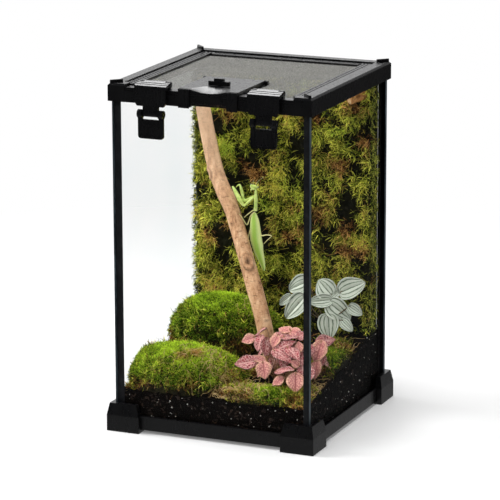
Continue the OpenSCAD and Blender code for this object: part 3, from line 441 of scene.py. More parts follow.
def growTufts(name, material, rng, roots, normals, kind, dry, lit=0.0):
    # tufts of narrow curved leaves, two quads each; dry shifts a tuft's colour towards brown, and
    # lit shifts it towards the painted shade at the leaf's foot or the pale tip, as painted light
    # and shade
    each, scatter, spread, bend, fall, lengths, widths = tufts[kind]
    footShare, tipShare = 0.8, 0.2      # of a leaf's width at its middle
    total = len(roots) * each
    root = np.repeat(roots, each, 0) + rng.normal(0, scatter * mm, (total, 3))
    heading = unit(np.repeat(normals, each, 0) + spread * anyWay(rng, total))
    bow = unit(heading + bend * anyWay(rng, total) + np.array([0, 0, -fall]))
    size = np.repeat(rng.uniform(0.75, 1.25, len(roots)), each)
    length = (rng.uniform(lengths[0] * mm, lengths[1] * mm, total) * size)[:, None]
    middle = root + heading * length * 0.5
    end = middle + bow * length * 0.5
    across = unit(np.cross(heading, anyWay(rng, total)))
    wide = across * rng.uniform(widths[0] * mm, widths[1] * mm, total)[:, None] / 2
    points = np.stack([root - wide * footShare, root + wide * footShare, middle - wide,
                       middle + wide, end - wide * tipShare, end + wide * tipShare], 1)
    points = np.clip(points, *mossLook["room"])
    first = np.arange(total)[:, None] * 6
    faces = np.concatenate([first + [0, 1, 3, 2], first + [2, 3, 5, 4]])
    lit = np.repeat(np.broadcast_to(lit, (len(roots),)), each * 6)
    makePiece(name, points.reshape(-1, 3), faces, [material], "moss", smooth=False, carried={
        "along": np.tile([0, 0, 0.5, 0.5, 1, 1], total) + lit, "dry": np.repeat(dry, each * 6)})


def near(points, places, size):  # 1 at a listed place, falling to 0 round it
    value = np.zeros(len(points))
    for place in places:
        away = np.linalg.norm((points - np.array(place) * mm) / (np.array(size) * mm), axis=1)
        value = np.maximum(value, np.clip(1.3 - away, 0, 1))
    return value


wall = {
    "foot": 70 * mm, "top": 321.4 * mm, "back": 89.9 * mm,
    "depth": 20 * mm, "lump": 2.2 * mm,       # as the CAD solid
    "clump": 4.2 * mm, "clumpSize": 17 * mm,  # cushions of moss on it
    "columns": 120, "levels": 140, "leftEnd": -92.5 * mm, "rightEnd": 93.6 * mm,
    "tufts": 3900, "tuftsAcross": (-91.5, 94.8), "tuftsUp": (72, 320),
    "shoots": 420, "sideTufts": 420,
    "dry": [(-50, 284), (-34, 232), (-24, 225), (18, 296), (19, 191), (36, 284), (64, 240),
            (90, 267), (41, 188), (72, 158), (17, 164), (81, 298), (84, 156), (-50, 168),
            (-68, 160), (28, 178), (70, 176)],
    # places of lime moss, with painted light on them as well
    "bright": [(-56, 249), (-44, 288), (22, 313), (45, 263), (54, 224), (22, 186), (-68, 294),
               (12, 220), (64, 275), (-10, 198)],
    # places left bare, where the near-black base shows as painted shade in hollows
    "dark": [(-68, 269), (-18, 258), (-31, 181), (-47, 210), (22, 261), (75, 206), (-18, 157),
             (-58, 153)],
}


def wallDepth(x, z):  # the same waves as in the CAD solid
    across = (x + tank["half"]) / (2 * tank["half"])
    up = (z - wall["foot"]) / (wall["top"] - wall["foot"])
    turn = math.pi / 180
    lumps = (np.sin((700 * across + 40 * np.sin(500 * up * turn)) * turn)
             * np.cos(900 * up * turn) + 0.6 * np.sin((1900 * across + 1400 * up) * turn))
    return (wall["depth"] + wall["lump"] * lumps - 3 * mm * np.abs(2 * up - 1) ** 8
            - 9 * mm * np.clip(1 - 2 * across, 0, 1) ** 12)


def wallSurface(x, z):  # points on the cushions, and how far each cushion stands out there
    places = np.stack([x, 0 * x, z], 1)
    clump = fractalAt(places, wall["clumpSize"], 3, 4.1) + 0.5 * fractalAt(places, 5 * mm, 2, 9.3)
    y = wall["back"] - wallDepth(x, z) - wall["clump"] * np.clip(clump, -1.4, 0.9)
    return np.stack([x, y, z], 1), clump


def makeWall(rng):
    rows, columns = wall["levels"], wall["columns"]
    gridZ, gridX = np.meshgrid(
        np.linspace(wall["foot"], wall["top"], rows),
        np.linspace(wall["leftEnd"], wall["rightEnd"], columns), indexing="ij")
    front, _ = wallSurface(gridX.ravel(), gridZ.ravel())
    rim = gridRim(rows, columns)
    back = front[rim].copy()
    back[:, 1] = wall["back"]
    behind = range(len(front), len(front) + len(rim))
    faces = gridFaces(rows, columns) + bandFaces(rim, behind) + [tuple(behind)[::-1]]
    base = makePiece("moss_wall_base", np.vstack([front, back]), faces, [mossBaseInShade], "moss")
    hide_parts("moss_wall")

    # more places are tried than are kept: the cushions' tops are full, and low places and the
    # listed dark places are left bare, so that the near-black base shows there as painted shade
    count = wall["tufts"]
    x = rng.uniform(*wall["tuftsAcross"], count * 2) * mm
    z = rng.uniform(*wall["tuftsUp"], count * 2) * mm
    roots, clump = wallSurface(x, z)
    places = np.stack([x, z], 1)
    order = clump - 1.6 * near(places, wall["dark"], (11, 13)) + rng.normal(0, 0.25, len(x))
    keep = np.argsort(order)[::-1][:count]
    roots, clump, places = roots[keep], clump[keep], places[keep]
    patch = fractalAt(roots, 30 * mm, 2, 7.7)
    bright = near(places, wall["bright"], (12, 10))
    dry = 0.22 + 0.38 * patch + 0.85 * near(places, wall["dry"], (11, 9)) - 0.6 * bright
    dry = dry + rng.normal(0, 0.14, count)
    # painted light: tufts on cushions that stand out are lit up, those in hollows shaded, and the
    # listed bright places lit up more
    lit = (0.42 * np.clip(clump, -1.3, 1.4) + rng.normal(0, 0.28, count) + 0.2 * patch - 0.06
           + 0.25 * bright)
    normals = np.tile([0, -1.0, 0.05], (count, 1))
    growTufts("moss_wall_tufts", wallMoss, rng, roots, normals, "wall", dry, lit)
    pick = rng.choice(count, wall["shoots"], replace=False)
    growTufts("moss_wall_shoots", wallMoss, rng, roots[pick], normals[pick], "wallShoots",
              dry[pick] + 0.2, lit[pick] + 0.15)

    # moss pressed against the side panes at both ends of the wall
    count = wall["sideTufts"]
    side = np.repeat([1.0, -1.0], count)
    roots = np.stack([np.where(side > 0, wall["rightEnd"], wall["leftEnd"]),
                      rng.uniform(72, 89.5, 2 * count) * mm,
                      rng.uniform(74, 320, 2 * count) * mm], 1)
    growTufts("moss_wall_ends", wallMoss, rng, roots,
              np.stack([side, 0 * side - 0.5, 0 * side], 1), "wallEnds",
              0.2 + 0.35 * fractalAt(roots, 16 * mm, 2, 7.7),
              0.35 * fractalAt(roots, 9 * mm, 2, 5.5) - 0.1)


mounds = {
    "moss_front_left": {
        "centre": (-48, -58), "radius": (60, 37), "height": 25, "tufts": 2600, "brown": 0,
        "dry": [(-34, -60, 68), (-44, -66, 66), (-70, -90, 42), (0, -66, 50), (-30, -84, 50)],
        "drySize": (11, 10, 9)},
    "moss_rear_left": {
        "centre": (-36, 13), "radius": (60, 32), "height": 49, "tufts": 2300, "brown": 0,
        "dry": [(-30, -17, 64), (-12, -14, 72), (-84, -6, 66)], "drySize": (16, 9, 12)},
    "moss_right": {
        "centre": (78, 0), "radius": (17, 44), "height": 10, "tufts": 640, "brown": 0.24,
        "dry": [(80, -30, 55), (84, 22, 66)], "drySize": (9, 12, 10)},
    "moss_front_edge": {
        "centre": (46, -83), "radius": (46, 11.5), "height": 8, "tufts": 560, "brown": 0.14,
        "dry": [(12, -86, 44), (30, -90, 42), (80, -84, 42)], "drySize": (13, 9, 8)},
}


def moundSurface(spec, reach, angle):
    wave = 1 + 0.04 * np.sin(3 * angle + 0.7) + 0.03 * np.sin(5 * angle)
    x = (spec["centre"][0] + spec["radius"][0] * reach * wave * np.cos(angle)) * mm
    y = (spec["centre"][1] + spec["radius"][1] * reach * wave * np.sin(angle)) * mm
    rise = spec["height"] * mm * np.sqrt(np.maximum(1 - reach ** 2.4, 0))
    return np.stack([x, y, soilAt(y) + rise], -1)


def makeMound(name, spec, rng):
    rings, sectors, step = 22, 72, 0.004
    reach = 1 - (1 - np.linspace(1, 0.02, rings)) ** 0.8
    points = moundSurface(spec, reach[:, None], circle(sectors)[None]).reshape(-1, 3)
    bumps = fractalAt(points, 11 * mm, 3, spec["height"])
    points[:, 2] += np.where(np.repeat(reach, sectors) < 0.99, 1.0 * mm * bumps, 0)
    points = np.clip(points, (-95.8 * mm, -95.8 * mm, 0), (95.8 * mm, 95.8 * mm, 1))
    under = points[:sectors].copy()
    under[:, 2] -= 2.5 * mm
    first = len(points)
    faces = gridFaces(rings, sectors, around=True)
    faces += [(s, first + s, first + (s + 1) % sectors, (s + 1) % sectors) for s in range(sectors)]
    faces.append(tuple(first + s for s in range(sectors)))
    faces.append(tuple((rings - 1) * sectors + s for s in range(sectors)))
    base = makePiece(name + "_base", np.vstack([points, under]), faces, [mossRootsInShade], "moss")
    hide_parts(name)

    count, brown = spec["tufts"], spec["brown"]
    angle = rng.uniform(0, 2 * math.pi, count)
    spread = rng.uniform(0.0, 1.0, count) ** 0.5
    roots = moundSurface(spec, spread, angle)
    outward = (moundSurface(spec, np.minimum(spread + step, 0.999), angle)
               - moundSurface(spec, np.maximum(spread - step, 0), angle))
    sideways = moundSurface(spec, spread, angle + step) - moundSurface(spec, spread, angle - step)
    normals = unit(np.cross(outward, sideways))
    inside = np.abs(roots[:, 0]) < 95.5 * mm
    roots, normals, spread = roots[inside], normals[inside], spread[inside]
    dry = (0.04 + brown + 0.16 * fractalAt(roots, 24 * mm, 2, 3.3)
           + 0.8 * near(roots, spec["dry"], spec["drySize"])
           + 0.3 * (spread > 0.95) + rng.normal(0, 0.06 + 0.5 * brown, len(roots)))
    # painted light: tufts facing up are lighter, those on the cushion's sides darker
    lit = -brown + 0.6 * normals[:, 2] - 0.52 + 0.3 * fractalAt(roots, 9 * mm, 2, 6.6)
    growTufts(name + "_tufts", lushMoss, rng, roots, normals, "mound", dry, lit)
    # darker straggling shoots, mostly round the foot: their lowered lit value is painted shade low
    # on the cushion
    pick = np.flatnonzero(spread > 0.55)
    pick = rng.choice(pick, min(len(pick), count // 4), replace=False)
    growTufts(name + "_shoots", wallMoss, rng, roots[pick], normals[pick], "moundShoots",
              rng.choice([0.0, 0.1, 0.2, 0.7], len(pick)), rng.normal(-0.2, 0.2, len(pick)))


makeWall(seeded(11))
print("moss wall made")
for number, (name, spec) in enumerate(mounds.items()):
    makeMound(name, spec, seeded(21 + number))
print("moss cushions made")

# Soil, with its grains and what lies loose on it

soil = {
    "cells": 150, "grain": 1.3 * mm, "levels": 30,
    "hollow": 1.6 * mm, "deepest": 2.4 * mm,      # how far it stands back behind the glass
    "dark": paint(3, 3, 3), "crumb": paint(20, 15, 12), "fleck": paint(84, 76, 66),
    "stones": 230, "chips": 800,
}


def makeSoilFinish():
    material = startMaterial("soilMix", {"Roughness": 0.92, "Specular IOR Level": 0.2})
    body = ramp(cloud(420, 5, rough=0.7), [(0.35, soil["dark"]), (0.72, soil["crumb"])])
    where = add("TexCoord").outputs["Object"]
    cells = add("TexVoronoi", {"Vector": where, "Scale": 260})
    fleck = fade(cells.outputs["Distance"], 0.1, 0.16, 1, 0)
    some = calc("GREATER_THAN", cells.outputs["Color"], 0.74)
    colour = mixed(times(fleck, some), body, soil["fleck"])
    surface(colour, cloud(700, 4), 1.2 * mm)
    return material


def makeSoil():
    cells, levels = soil["cells"], soil["levels"]
    line = np.linspace(-tank["half"], tank["half"], cells)
    gridY, gridX = np.meshgrid(line, line, indexing="ij")
    top = np.stack([gridX.ravel(), gridY.ravel(), soilAt(gridY.ravel())], 1)
    crumbs = fractalAt(top, 6 * mm, 4, 1.1) + 0.8 * fractalAt(top, 22 * mm, 2, 5.5)
    level = np.clip((60 * mm - top[:, 1]) / (8 * mm), 0, 1)  # flat under the moss wall
    top[:, 2] += (soil["grain"] * crumbs - 0.6 * mm) * level
    rim = gridRim(cells, cells)
    points, faces, upper, first = [top], gridFaces(cells, cells), rim, len(top)
    for level in range(1, levels + 1):
        ring = top[rim].copy()
        ring[:, 2] += (tank["soilBottom"] - ring[:, 2]) * level / levels
        if level < levels:  # crumbs and hollows behind the glass
            hollow = (np.abs(fractalAt(ring, 4 * mm, 3, 8.8))
                      + 0.6 * np.abs(fractalAt(ring, 14 * mm, 2, 2.6)))
            inward = np.clip(soil["hollow"] * hollow, 0, soil["deepest"]) / tank["half"]
            ring[:, :2] *= (1 - inward)[:, None]
        points.append(ring)
        lower = range(first, first + len(rim))
        faces += bandFaces(upper, lower)
        upper, first = lower, first + len(rim)
    faces.append(tuple(upper)[::-1])
    piece = makePiece("soil_bed", np.vstack(points), faces, [makeSoilFinish()], "soil")
    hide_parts("soil")


def pebbles(name, rng, count, size, squash, material, share):
    # irregular grains on the soil and flush against the panes, cut from an icosahedron
    golden = (1 + 5 ** 0.5) / 2
    quarter = np.array([(s, t * golden, 0) for s in (-1, 1) for t in (-1, 1)], float)
    corners = unit(np.vstack([np.roll(quarter, turn, 1) for turn in range(3)]))
    hull = bpy.data.meshes.new("grain")
    hull.from_pydata(corners.tolist(), [], [])
    shape = bmesh.new()
    shape.from_mesh(hull)
    bmesh.ops.convex_hull(shape, input=shape.verts)
    triangles = np.array([[v.index for v in f.verts] for f in shape.faces])
    shape.free()
    bpy.data.meshes.remove(hull)
    pane, parts, faces = 95.2 * mm, [], []
    for index in range(count):
        x, y = rng.uniform(-95, 95, 2) * mm
        if index < count * share:  # against the front or the right pane, or the left
            face = rng.choice([0, 0, 1, 1, 2])
            x, y = [(x, -pane), (pane, y), (-pane, y)][face]
            z = rng.uniform(14 * mm, soilAt(y) - 1 * mm)
        else:
            z = soilAt(y) + 0.2 * mm
        scale = rng.uniform(*size) * np.array([1, rng.uniform(0.6, 1), rng.uniform(*squash)])
        bent = corners * scale * rng.uniform(0.75, 1.15, (12, 1))
        spin = np.array(Matrix.Rotation(rng.uniform(0, 6.28), 3, Vector(rng.normal(size=3))))
        parts.append(np.clip(bent @ spin.T + (x, y, z), -95.88 * mm, 95.88 * mm))
        faces.append(triangles + 12 * index)
    makePiece(name, np.vstack(parts), np.vstack(faces), [material], "soil", smooth=False)


makeSoil()
perlite = makeSimple("perlite", paint(150, 146, 138), paint(214, 211, 204), 500, (0.8, 0.95),
                     2500, 0.3 * mm)
barkChip = makeSimple("barkChip", paint(10, 7, 6), paint(52, 36, 25), 400, (0.8, 0.95), 1800,
                      0.3 * mm)
pebbles("soil_perlite", seeded(32), soil["stones"], (0.35 * mm, 1.0 * mm),
        (0.5, 0.9), perlite, 0.62)
pebbles("soil_chips", seeded(33), soil["chips"], (1.2 * mm, 3.2 * mm), (0.15, 0.3), barkChip, 0.45)

straw = {
    "colour": (paint(128, 94, 52), paint(214, 186, 130)), "thick": 0.34 * mm,
    "clusters": [  # x, y, width and number of stalks
        (14, -78, 20, 56), (34, -88, 16, 30), (-6, -60, 22, 36), (-30, -56, 20, 30),
        (22, -20, 22, 22), (76, -44, 18, 20), (0, 8, 18, 16), (-30, 55, 26, 12),
        (84, 30, 14, 14), (-60, -80, 22, 16), (40, -80, 30, 26), (-8, -74, 20, 20),
        (84, -60, 10, 16)],
}
cover = {  # loose sprigs of moss on the soil
    "patches": [  # x, y, width, depth and number of sprigs
        (14, -66, 16, 10, 150), (16, -28, 14, 12, 110), (34, -12, 16, 12, 110),
        (78, -62, 14, 14, 170), (60, -66, 16, 8, 110), (10, 30, 20, 14, 60),
        (60, 46, 20, 12, 60), (84, -88, 9, 6, 60), (-86, -90, 8, 5, 40)],
    "dryShare": 0.45,
}


def groundAt(x, y):  # top of soil or cushion
    height = soilAt(y)
    for spec in mounds.values():
        away = np.hypot((x / mm - spec["centre"][0]) / spec["radius"][0],
                        (y / mm - spec["centre"][1]) / spec["radius"][1])
        if away < 1:
            height = max(height, soilAt(y) + spec["height"] * mm * (1 - away ** 2.4) ** 0.5)
    return height


def makeStraw(rng):
    parts = []
    for x, y, spread, count in straw["clusters"]:
        for _ in range(count):
            start = np.array([x, y]) * mm + rng.normal(0, spread / 2, 2) * mm
            start = np.clip(start, -91 * mm, 91 * mm)
            heading, turn = rng.uniform(0, 6.28), rng.normal(0, 0.35)
            knots, length = [], rng.uniform(14, 34) * mm
            for step in range(6):
                lift = 0.8 * mm + 5 * mm * math.sin(math.pi * step / 5) * rng.uniform(0.2, 1)
                knots.append((*start, groundAt(*start) + lift))
                way = np.array([math.cos(heading), math.sin(heading)])
                start = np.clip(start + length / 6 * way, -94 * mm, 94 * mm)
                heading += turn + rng.normal(0, 0.3)
            path = smoothPath(knots, 3)
            parts.append(tube(path, np.linspace(1, 0.4, len(path)) * straw["thick"], 4,
                              flatWay=(0.2, 0.1, 1)))
    finish = makeSimple("dryStraw", *straw["colour"], 160, (0.6, 0.8), 1500, 0.1 * mm)
    makePiece("dry_strands", *merge(parts), [finish], "moss")


def makeCover(rng):
    roots, dry = [], []
    for x, y, wide, deep, count in cover["patches"]:
        for _ in range(count):
            place = (x + rng.normal(0, wide / 2), y + rng.normal(0, deep / 2))
            place = np.clip(place, -94.5, 94.5) * mm
            roots.append((*place, groundAt(*place) + 0.2 * mm))
            dry.append(0.9 if rng.random() < cover["dryShare"] else rng.uniform(-0.1, 0.3))
    growTufts("ground_cover", wallMoss, rng, np.array(roots),
              np.tile([0, 0, 1.0], (len(roots), 1)), "cover", dry)


makeStraw(seeded(41))
makeCover(seeded(42))
print("soil made")

# Branch and stub

branch = {
    "route": [(-65, 30, 296), (-46.5, 19, 236), (-27, 12, 200), (-12, 5, 165), (10, -5.5, 110),
              (18, -10, 87), (31, -17, 48)],
    "radius": 7.6, "sides": 64, "steps": 44,
    "scars": [(0.174, 3.75, 2.2), (0.545, 5.27, 2.3), (0.4, 4.6, 0.9), (0.76, 5.6, 1.0)],
    "bark": (paint(108, 70, 48), paint(190, 144, 106), paint(226, 188, 150)),
    # painted light: the branch is painted paler higher up, towards this colour between these two
    # heights, as if lit from above
    "paintedTopLight": paint(250, 212, 176), "paintedTopLightFrom": 0.19, "paintedTopLightTo": 0.29,   # heights
    "scar": paint(58, 38, 28),
}
stub = {
    "ends": ((90, 76, 311), (77, 58, 306)), "steps": 26, "radius": 4.2, "sides": 36,
    "bark": (paint(88, 54, 30), paint(172, 118, 64), paint(212, 160, 98)),
}


def makeBark(name, dark, tan, pale, paintedTopLightShare):
    material = startMaterial(name, {"Specular IOR Level": 0.35})
    streak = cloud(190, 6, stretch=(1, 1, 0.3), rough=0.72)
    colour = ramp(streak, [(0.3, dark), (0.47, tan), (0.68, pale)])
    cracks = ramp(cloud(420, 4, stretch=(0.5, 0.5, 1.6), rough=0.6), [
        (0.34, (0.3, 0.24, 0.2, 1)), (0.44, grey(1))])
    colour = mixed(0.7, colour, cracks, "MULTIPLY")
    height = add("SeparateXYZ", {0: add("TexCoord").outputs["Object"]}).outputs["Z"]
    # painted light on the upper part of the branch
    high = span(height, branch["paintedTopLightFrom"], branch["paintedTopLightTo"], 0, paintedTopLightShare)
    colour = mixed(high, colour, branch["paintedTopLight"])
    colour = mixed(held("scar").outputs["Fac"], colour, branch["scar"])
    surface(colour, cloud(520, 5, stretch=(0.7, 0.7, 0.6)), 0.6 * mm, 0.8,
            span(streak, 0.3, 0.7, 0.7, 0.52))
    return material


cutWood = makeSimple("cutWood", paint(168, 128, 88), paint(214, 178, 132), 240, (0.7, 0.85), 900,
                     0.2 * mm)


def woodTube(name, path, radii, sides, replaced, scars, shift, bark):
    points, faces = tube(path, radii, sides)
    count = len(path)
    out = unit(points - np.repeat(path, sides, 0))
    turn = np.tile(circle(sides), count)
    share = np.repeat(np.linspace(0, 1, count), sides)
    length = np.linalg.norm(np.diff(path, axis=0), axis=1).sum()
    skin = np.stack([np.cos(turn), np.sin(turn), share * length / (9 * mm)], 1)
    long = fractalAt(skin * (1, 1, 0.25), 1.0, 3, shift)
    fine = fractalAt(skin * (3.2, 3.2, 0.9), 1.0, 3, shift + 5)
    push, dark = 0.035 * long + 0.022 * fine, np.zeros(len(points))
    for spot, at, size in scars:  # a low collar with a sunken middle where a twig was
        turnAway = (turn - at + math.pi) % (2 * math.pi) - math.pi
        away = np.hypot(turnAway * radii.mean(), (share - spot) * length) / (size * 2 * mm)
        push += (0.16 * size / 2 * np.exp(-((away - 0.9) / 0.45) ** 2)
                 - 0.10 * np.exp(-(away / 0.5) ** 2))
        dark += 0.9 * np.exp(-(away / 0.45) ** 2) + 0.5 * np.exp(-((away - 1.25) / 0.2) ** 2)
    points = points + out * (push * np.repeat(radii, sides))[:, None]
    piece = makePiece(name, points, faces, [bark, cutWood], "bark",
                      faceFinish=[0] * (len(faces) - 2) + [1, 1],
                      carried={"scar": np.clip(dark, 0, 1)})
    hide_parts(replaced)


def makeWood():
    path = smoothPath(np.array(branch["route"]) * mm, branch["steps"])
    share = np.linspace(0, 1, len(path))
    radii = branch["radius"] * mm * (
        0.94 + 0.1 * share + 0.07 * np.exp(-((share - 0.27) / 0.03) ** 2)
        + 0.06 * np.exp(-((share - 0.62) / 0.03) ** 2))     # swells at two scars
    radii[0] *= 0.9
    woodTube("branch_bark", path, radii, branch["sides"], "branch", branch["scars"], 2.2,
             makeBark("branchBark", *branch["bark"], 0.5))
    path = np.linspace(*stub["ends"], stub["steps"]) * mm
    radii = stub["radius"] * mm * (1 + 0.06 * np.sin(np.linspace(0, 7, stub["steps"])))
    radii[-1] *= 0.8
    woodTube("stub_bark", path, radii, stub["sides"], "wood_stub", [], 6.1,
             makeBark("stubBark", *stub["bark"], 0.0))


makeWood()
print("branch made")


# Leaves

def leafShape(length, width, spec, rng):
    # grid of points: x along the midrib, y across, z up; and its (across, along, chance) values
    rows, columns = spec["rows"], spec["columns"]
    along = np.linspace(0, 1, rows)[:, None]
    across = np.linspace(-1, 1, columns)[None, :]
    half = width / 2 * np.sin(math.pi * along ** spec["base"]) ** spec["full"]
    half = np.maximum(half, 0.02 * width)
    x = length * (along - spec["heart"] * np.abs(across) ** 1.5 * np.exp(-(along / 0.18) ** 2))
    y = half * across
    ribs = np.cos(spec["veins"] * math.pi * across) * np.sin(math.pi * along) ** 0.5
    z = (spec["fold"] * np.abs(y) + spec["cup"] * length * (across ** 2) * half / width
         - spec["droop"] * length * along ** 2.2 - spec["pucker"] * width * ribs
         + spec["wave"] * width * np.sin(7 * along + rng.uniform(0, 6)) * across ** 2)
    place = np.stack([across + 0 * along, along + 0 * across,
                      np.full((rows, columns), rng.uniform())], -1)
    return np.stack([x, y, z], -1).reshape(-1, 3), place.reshape(-1, 3)


def placed(points, turn, centre):
    return points @ np.array(turn).T + np.asarray(centre)


def spun(*turns):  # product of rotations, each (degrees, axis letter), first one outermost
    whole = Matrix.Identity(3)
    for degrees, axis in turns:
        whole = whole @ Matrix.Rotation(math.radians(degrees), 3, axis)
    return whole


def leavesPiece(name, leaves, spec, material, slotName, replaced, stems, stemMaterial):
    faces = gridFaces(spec["rows"], spec["columns"])
    piece = makePiece(name + "_leaves", *merge([(points, faces) for points, _ in leaves]),
                      [material], slotName,
                      carried={"leafPlace": np.vstack([place for _, place in leaves])})
    skin = piece.modifiers.new("thickness", "SOLIDIFY")
    skin.thickness, skin.offset = spec["thick"], 0
    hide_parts(replaced)
    makePiece(name + "_stems", *merge(stems), [stemMaterial], slotName)


silver = {
    "centre": (58, 47, 108), "root": (56, 46), "tilt": 70, "turn": 6,
    "leaves": [  # base x and y, heading, length, width
        (14, 9, 27, 26, 19.5), (4, -2, -35, 26, 19.5), (4, -14, -84, 23, 20),
        (-22, 2, -128, 28, 18.5), (-20, 18, 208, 22, 17), (5, 6, 138, 20, 19.5),
        (5, 1, 190, 22, 12.5), (5, 3, 45, 12, 8), (24, -4, -28, 15, 10.5),
        (18, -18, -40, 15, 10), (-36, 2, -140, 15, 8)],
    "rows": 17, "columns": 25, "broad": 1.12, "base": 0.66, "full": 0.58, "heart": 0.10,
    "veins": 3, "fold": 0.12, "cup": 0.10, "droop": 0.12, "pucker": 0.022, "wave": 0.04,
    "thick": 0.5 * mm,
    "vein": paint(56, 74, 52), "mid": paint(146, 158, 138), "pale": paint(190, 196, 182),
    "stem": (paint(74, 62, 46), paint(118, 106, 78)),
}
pink = {
    "centre": (50, -52), "length": 25, "width": 17.8,
    "leaves": [  # base x, y, z, heading, pitch, roll, share of the length and of the width
        (45.9, -58, 84, -20, -15, 25, 1, 0.81), (74.6, -72, 68.2, -66, -61, 5, 0.76, 1.01),
        (30.2, -60, 71.6, -163, -8, -60, 0.89, 0.81), (82.4, -24, 88, -101, -56, -17, 0.91, 0.94),
        (37.2, -52, 93.3, -77, -61, -43, 0.7, 0.81), (77, -26, 85.9, 45, 7, 51, 0.83, 0.74),
        (58.6, -44, 99.5, 164, 7, -24, 0.61, 0.67), (38.1, -64, 73.1, -56, -54, 17, 0.69, 0.88),
        (59.7, -57.5, 88.3, -28, -23, 13, 0.84, 0.81),
        (23.7, -50, 92.1, -161, -18, -57, 0.54, 0.61), (84.6, -60, 73, -81, -59, -2, 0.65, 0.67),
        (53.5, -70, 66.3, -12, 19, 21, 0.87, 0.74), (47.7, -50, 96.4, -122, -55, -18, 0.51, 0.67),
        (84.4, -40.6, 73, -95, -66, -7, 0.72, 0.67), (55.7, -42, 100.6, -15, -5, 30, 0.65, 0.61),
        (37.6, -58, 71.2, 172, 18, -31, 0.63, 0.54), (31.2, -50, 95.1, -103, -59, 6, 0.65, 0.81),
        (77.5, -60, 76.1, -71, -57, -2, 0.65, 0.67), (77.1, -44, 89.6, -75, -54, -7, 0.59, 0.74),
        (63, -72, 62, -147, -26, -29, 0.51, 0.67), (49.2, -56, 83.8, 7, 31, 51, 0.82, 0.67),
        (67.2, -50, 96, 31, 31, 44, 0.38, 0.61), (49.5, -42, 96, -163, -20, -16, 0.59, 0.61),
        (85.1, -28, 76.4, -97, -70, -12, 0.49, 0.54), (75.9, -66, 73.6, 180, 28, -55, 0.37, 0.47),
        (52.9, -50, 95, -7, 11, 24, 0.65, 0.54), (72.8, -56, 84.4, 133, 59, -46, 0.43, 0.54),
        (85.1, -28, 68.5, 57, -35, 36, 0.49, 0.47), (51.2, -46, 98.2, -122, -39, -23, 0.38, 0.61),
        (81.6, -60, 76.6, -167, 14, -52, 0.37, 0.54), (27.3, -29, 95.8, -150, -28, 10, 0.62, 0.75),
        (38.4, -33, 88.2, -112, -50, -8, 0.75, 0.8), (30.9, -35, 83.9, -132, -48, 14, 0.7, 0.75),
        (50.6, -35, 96, -80, -42, 10, 0.7, 0.8), (62, -41, 89, -68, -50, -12, 0.75, 0.8),
        (42.8, -41, 75, -110, -50, 8, 0.8, 0.85), (56.6, -47, 82, -95, -52, -6, 0.8, 0.85),
        (71, -45, 89, -58, -42, 12, 0.7, 0.75), (36, -44, 66, -128, -40, -10, 0.7, 0.8)],
    "rows": 15, "columns": 17, "base": 0.75, "full": 0.85, "heart": 0.05, "veins": 2,
    "fold": 0.12, "cup": 0.05, "droop": 0.10, "pucker": 0.014, "wave": 0.05, "thick": 0.45 * mm,
    "net": paint(240, 200, 190), "field": paint(166, 46, 60), "deep": paint(88, 16, 28),
    "cream": paint(214, 152, 142), "rim": paint(226, 184, 152), "thread": paint(120, 26, 42),
    "paleShare": 0.4,
    "stem": (paint(112, 80, 56), paint(180, 138, 104)),
}


def leafPlaces():  # across, along and chance, as leafShape gives them
    place = add("SeparateXYZ", {0: held("leafPlace").outputs["Vector"]})
    return [place.outputs[key] for key in "XYZ"]


def makeSilverFinish():
    material = startMaterial("silverLeaf", {"Roughness": 0.42, "Sheen Weight": 0.15})
    across, along, _ = leafPlaces()
    wobble = swing(cloud(300, 3), 0.12)
    rib = ripple(times(plus(across, wobble), 2.5 * math.pi))
    side = ripple(plus(times(along, 46), times(calc("ABSOLUTE", across), -9)))
    lift = times(rib, span(side, 0, 0.2, 0.8, 1.0))
    lift = plus(lift, swing(cloud(420, 3), 0.4))
    colour = ramp(lift, [(0.08, silver["vein"]), (0.3, silver["mid"]), (0.6, silver["pale"])])
    surface(colour, lift, 0.35 * mm, 0.7)
    return material


def makePinkFinish():
    material = startMaterial("pinkLeaf", {"Roughness": 0.45})
    across, along, chance = leafPlaces()
    aside = calc("ABSOLUTE", across)
    where = add("CombineXYZ", {0: times(across, 2.3), 1: times(along, 5.2), 2: times(chance, 40)})
    cells = add("TexVoronoi", {"Vector": where.outputs[0], "Scale": 1.7},
                feature="DISTANCE_TO_EDGE")
    net = fade(cells.outputs["Distance"], 0.03, 0.13, 1, 0)
    slant = calc("SUBTRACT", times(along, 7), times(aside, 1.9))
    side = fade(ripple(times(slant, math.pi)), 0.1, 0.26, 1, 0)
    middle = fade(aside, 0.05, 0.11, 1, 0)
    veins = mixed(1.0, mixed(1.0, net, side, "LIGHTEN"), middle, "LIGHTEN")
    rim = fade(aside, 0.55, 1.0)
    deep = mixed(1.0, rim, fade(cloud(200, 2), 0.35, 0.7, 0.2, 0.9), "LIGHTEN")
    field = mixed(deep, pink["field"], pink["deep"])
    colour = mixed(times(veins, 0.58), field, pink["net"])
    # the paler leaves are cream with rosy threads
    cream = mixed(rim, pink["cream"], pink["rim"])
    cream = mixed(times(veins, 0.72), cream, pink["thread"])
    pale = calc("LESS_THAN", chance, pink["paleShare"])
    surface(mixed(pale, colour, cream), veins, 0.25 * mm, 0.5)
    return material


def makeStemFinish(name, spec):
    return makeSimple(name, *spec["stem"], 300, (0.5, 0.65), 1200, 0.1 * mm)


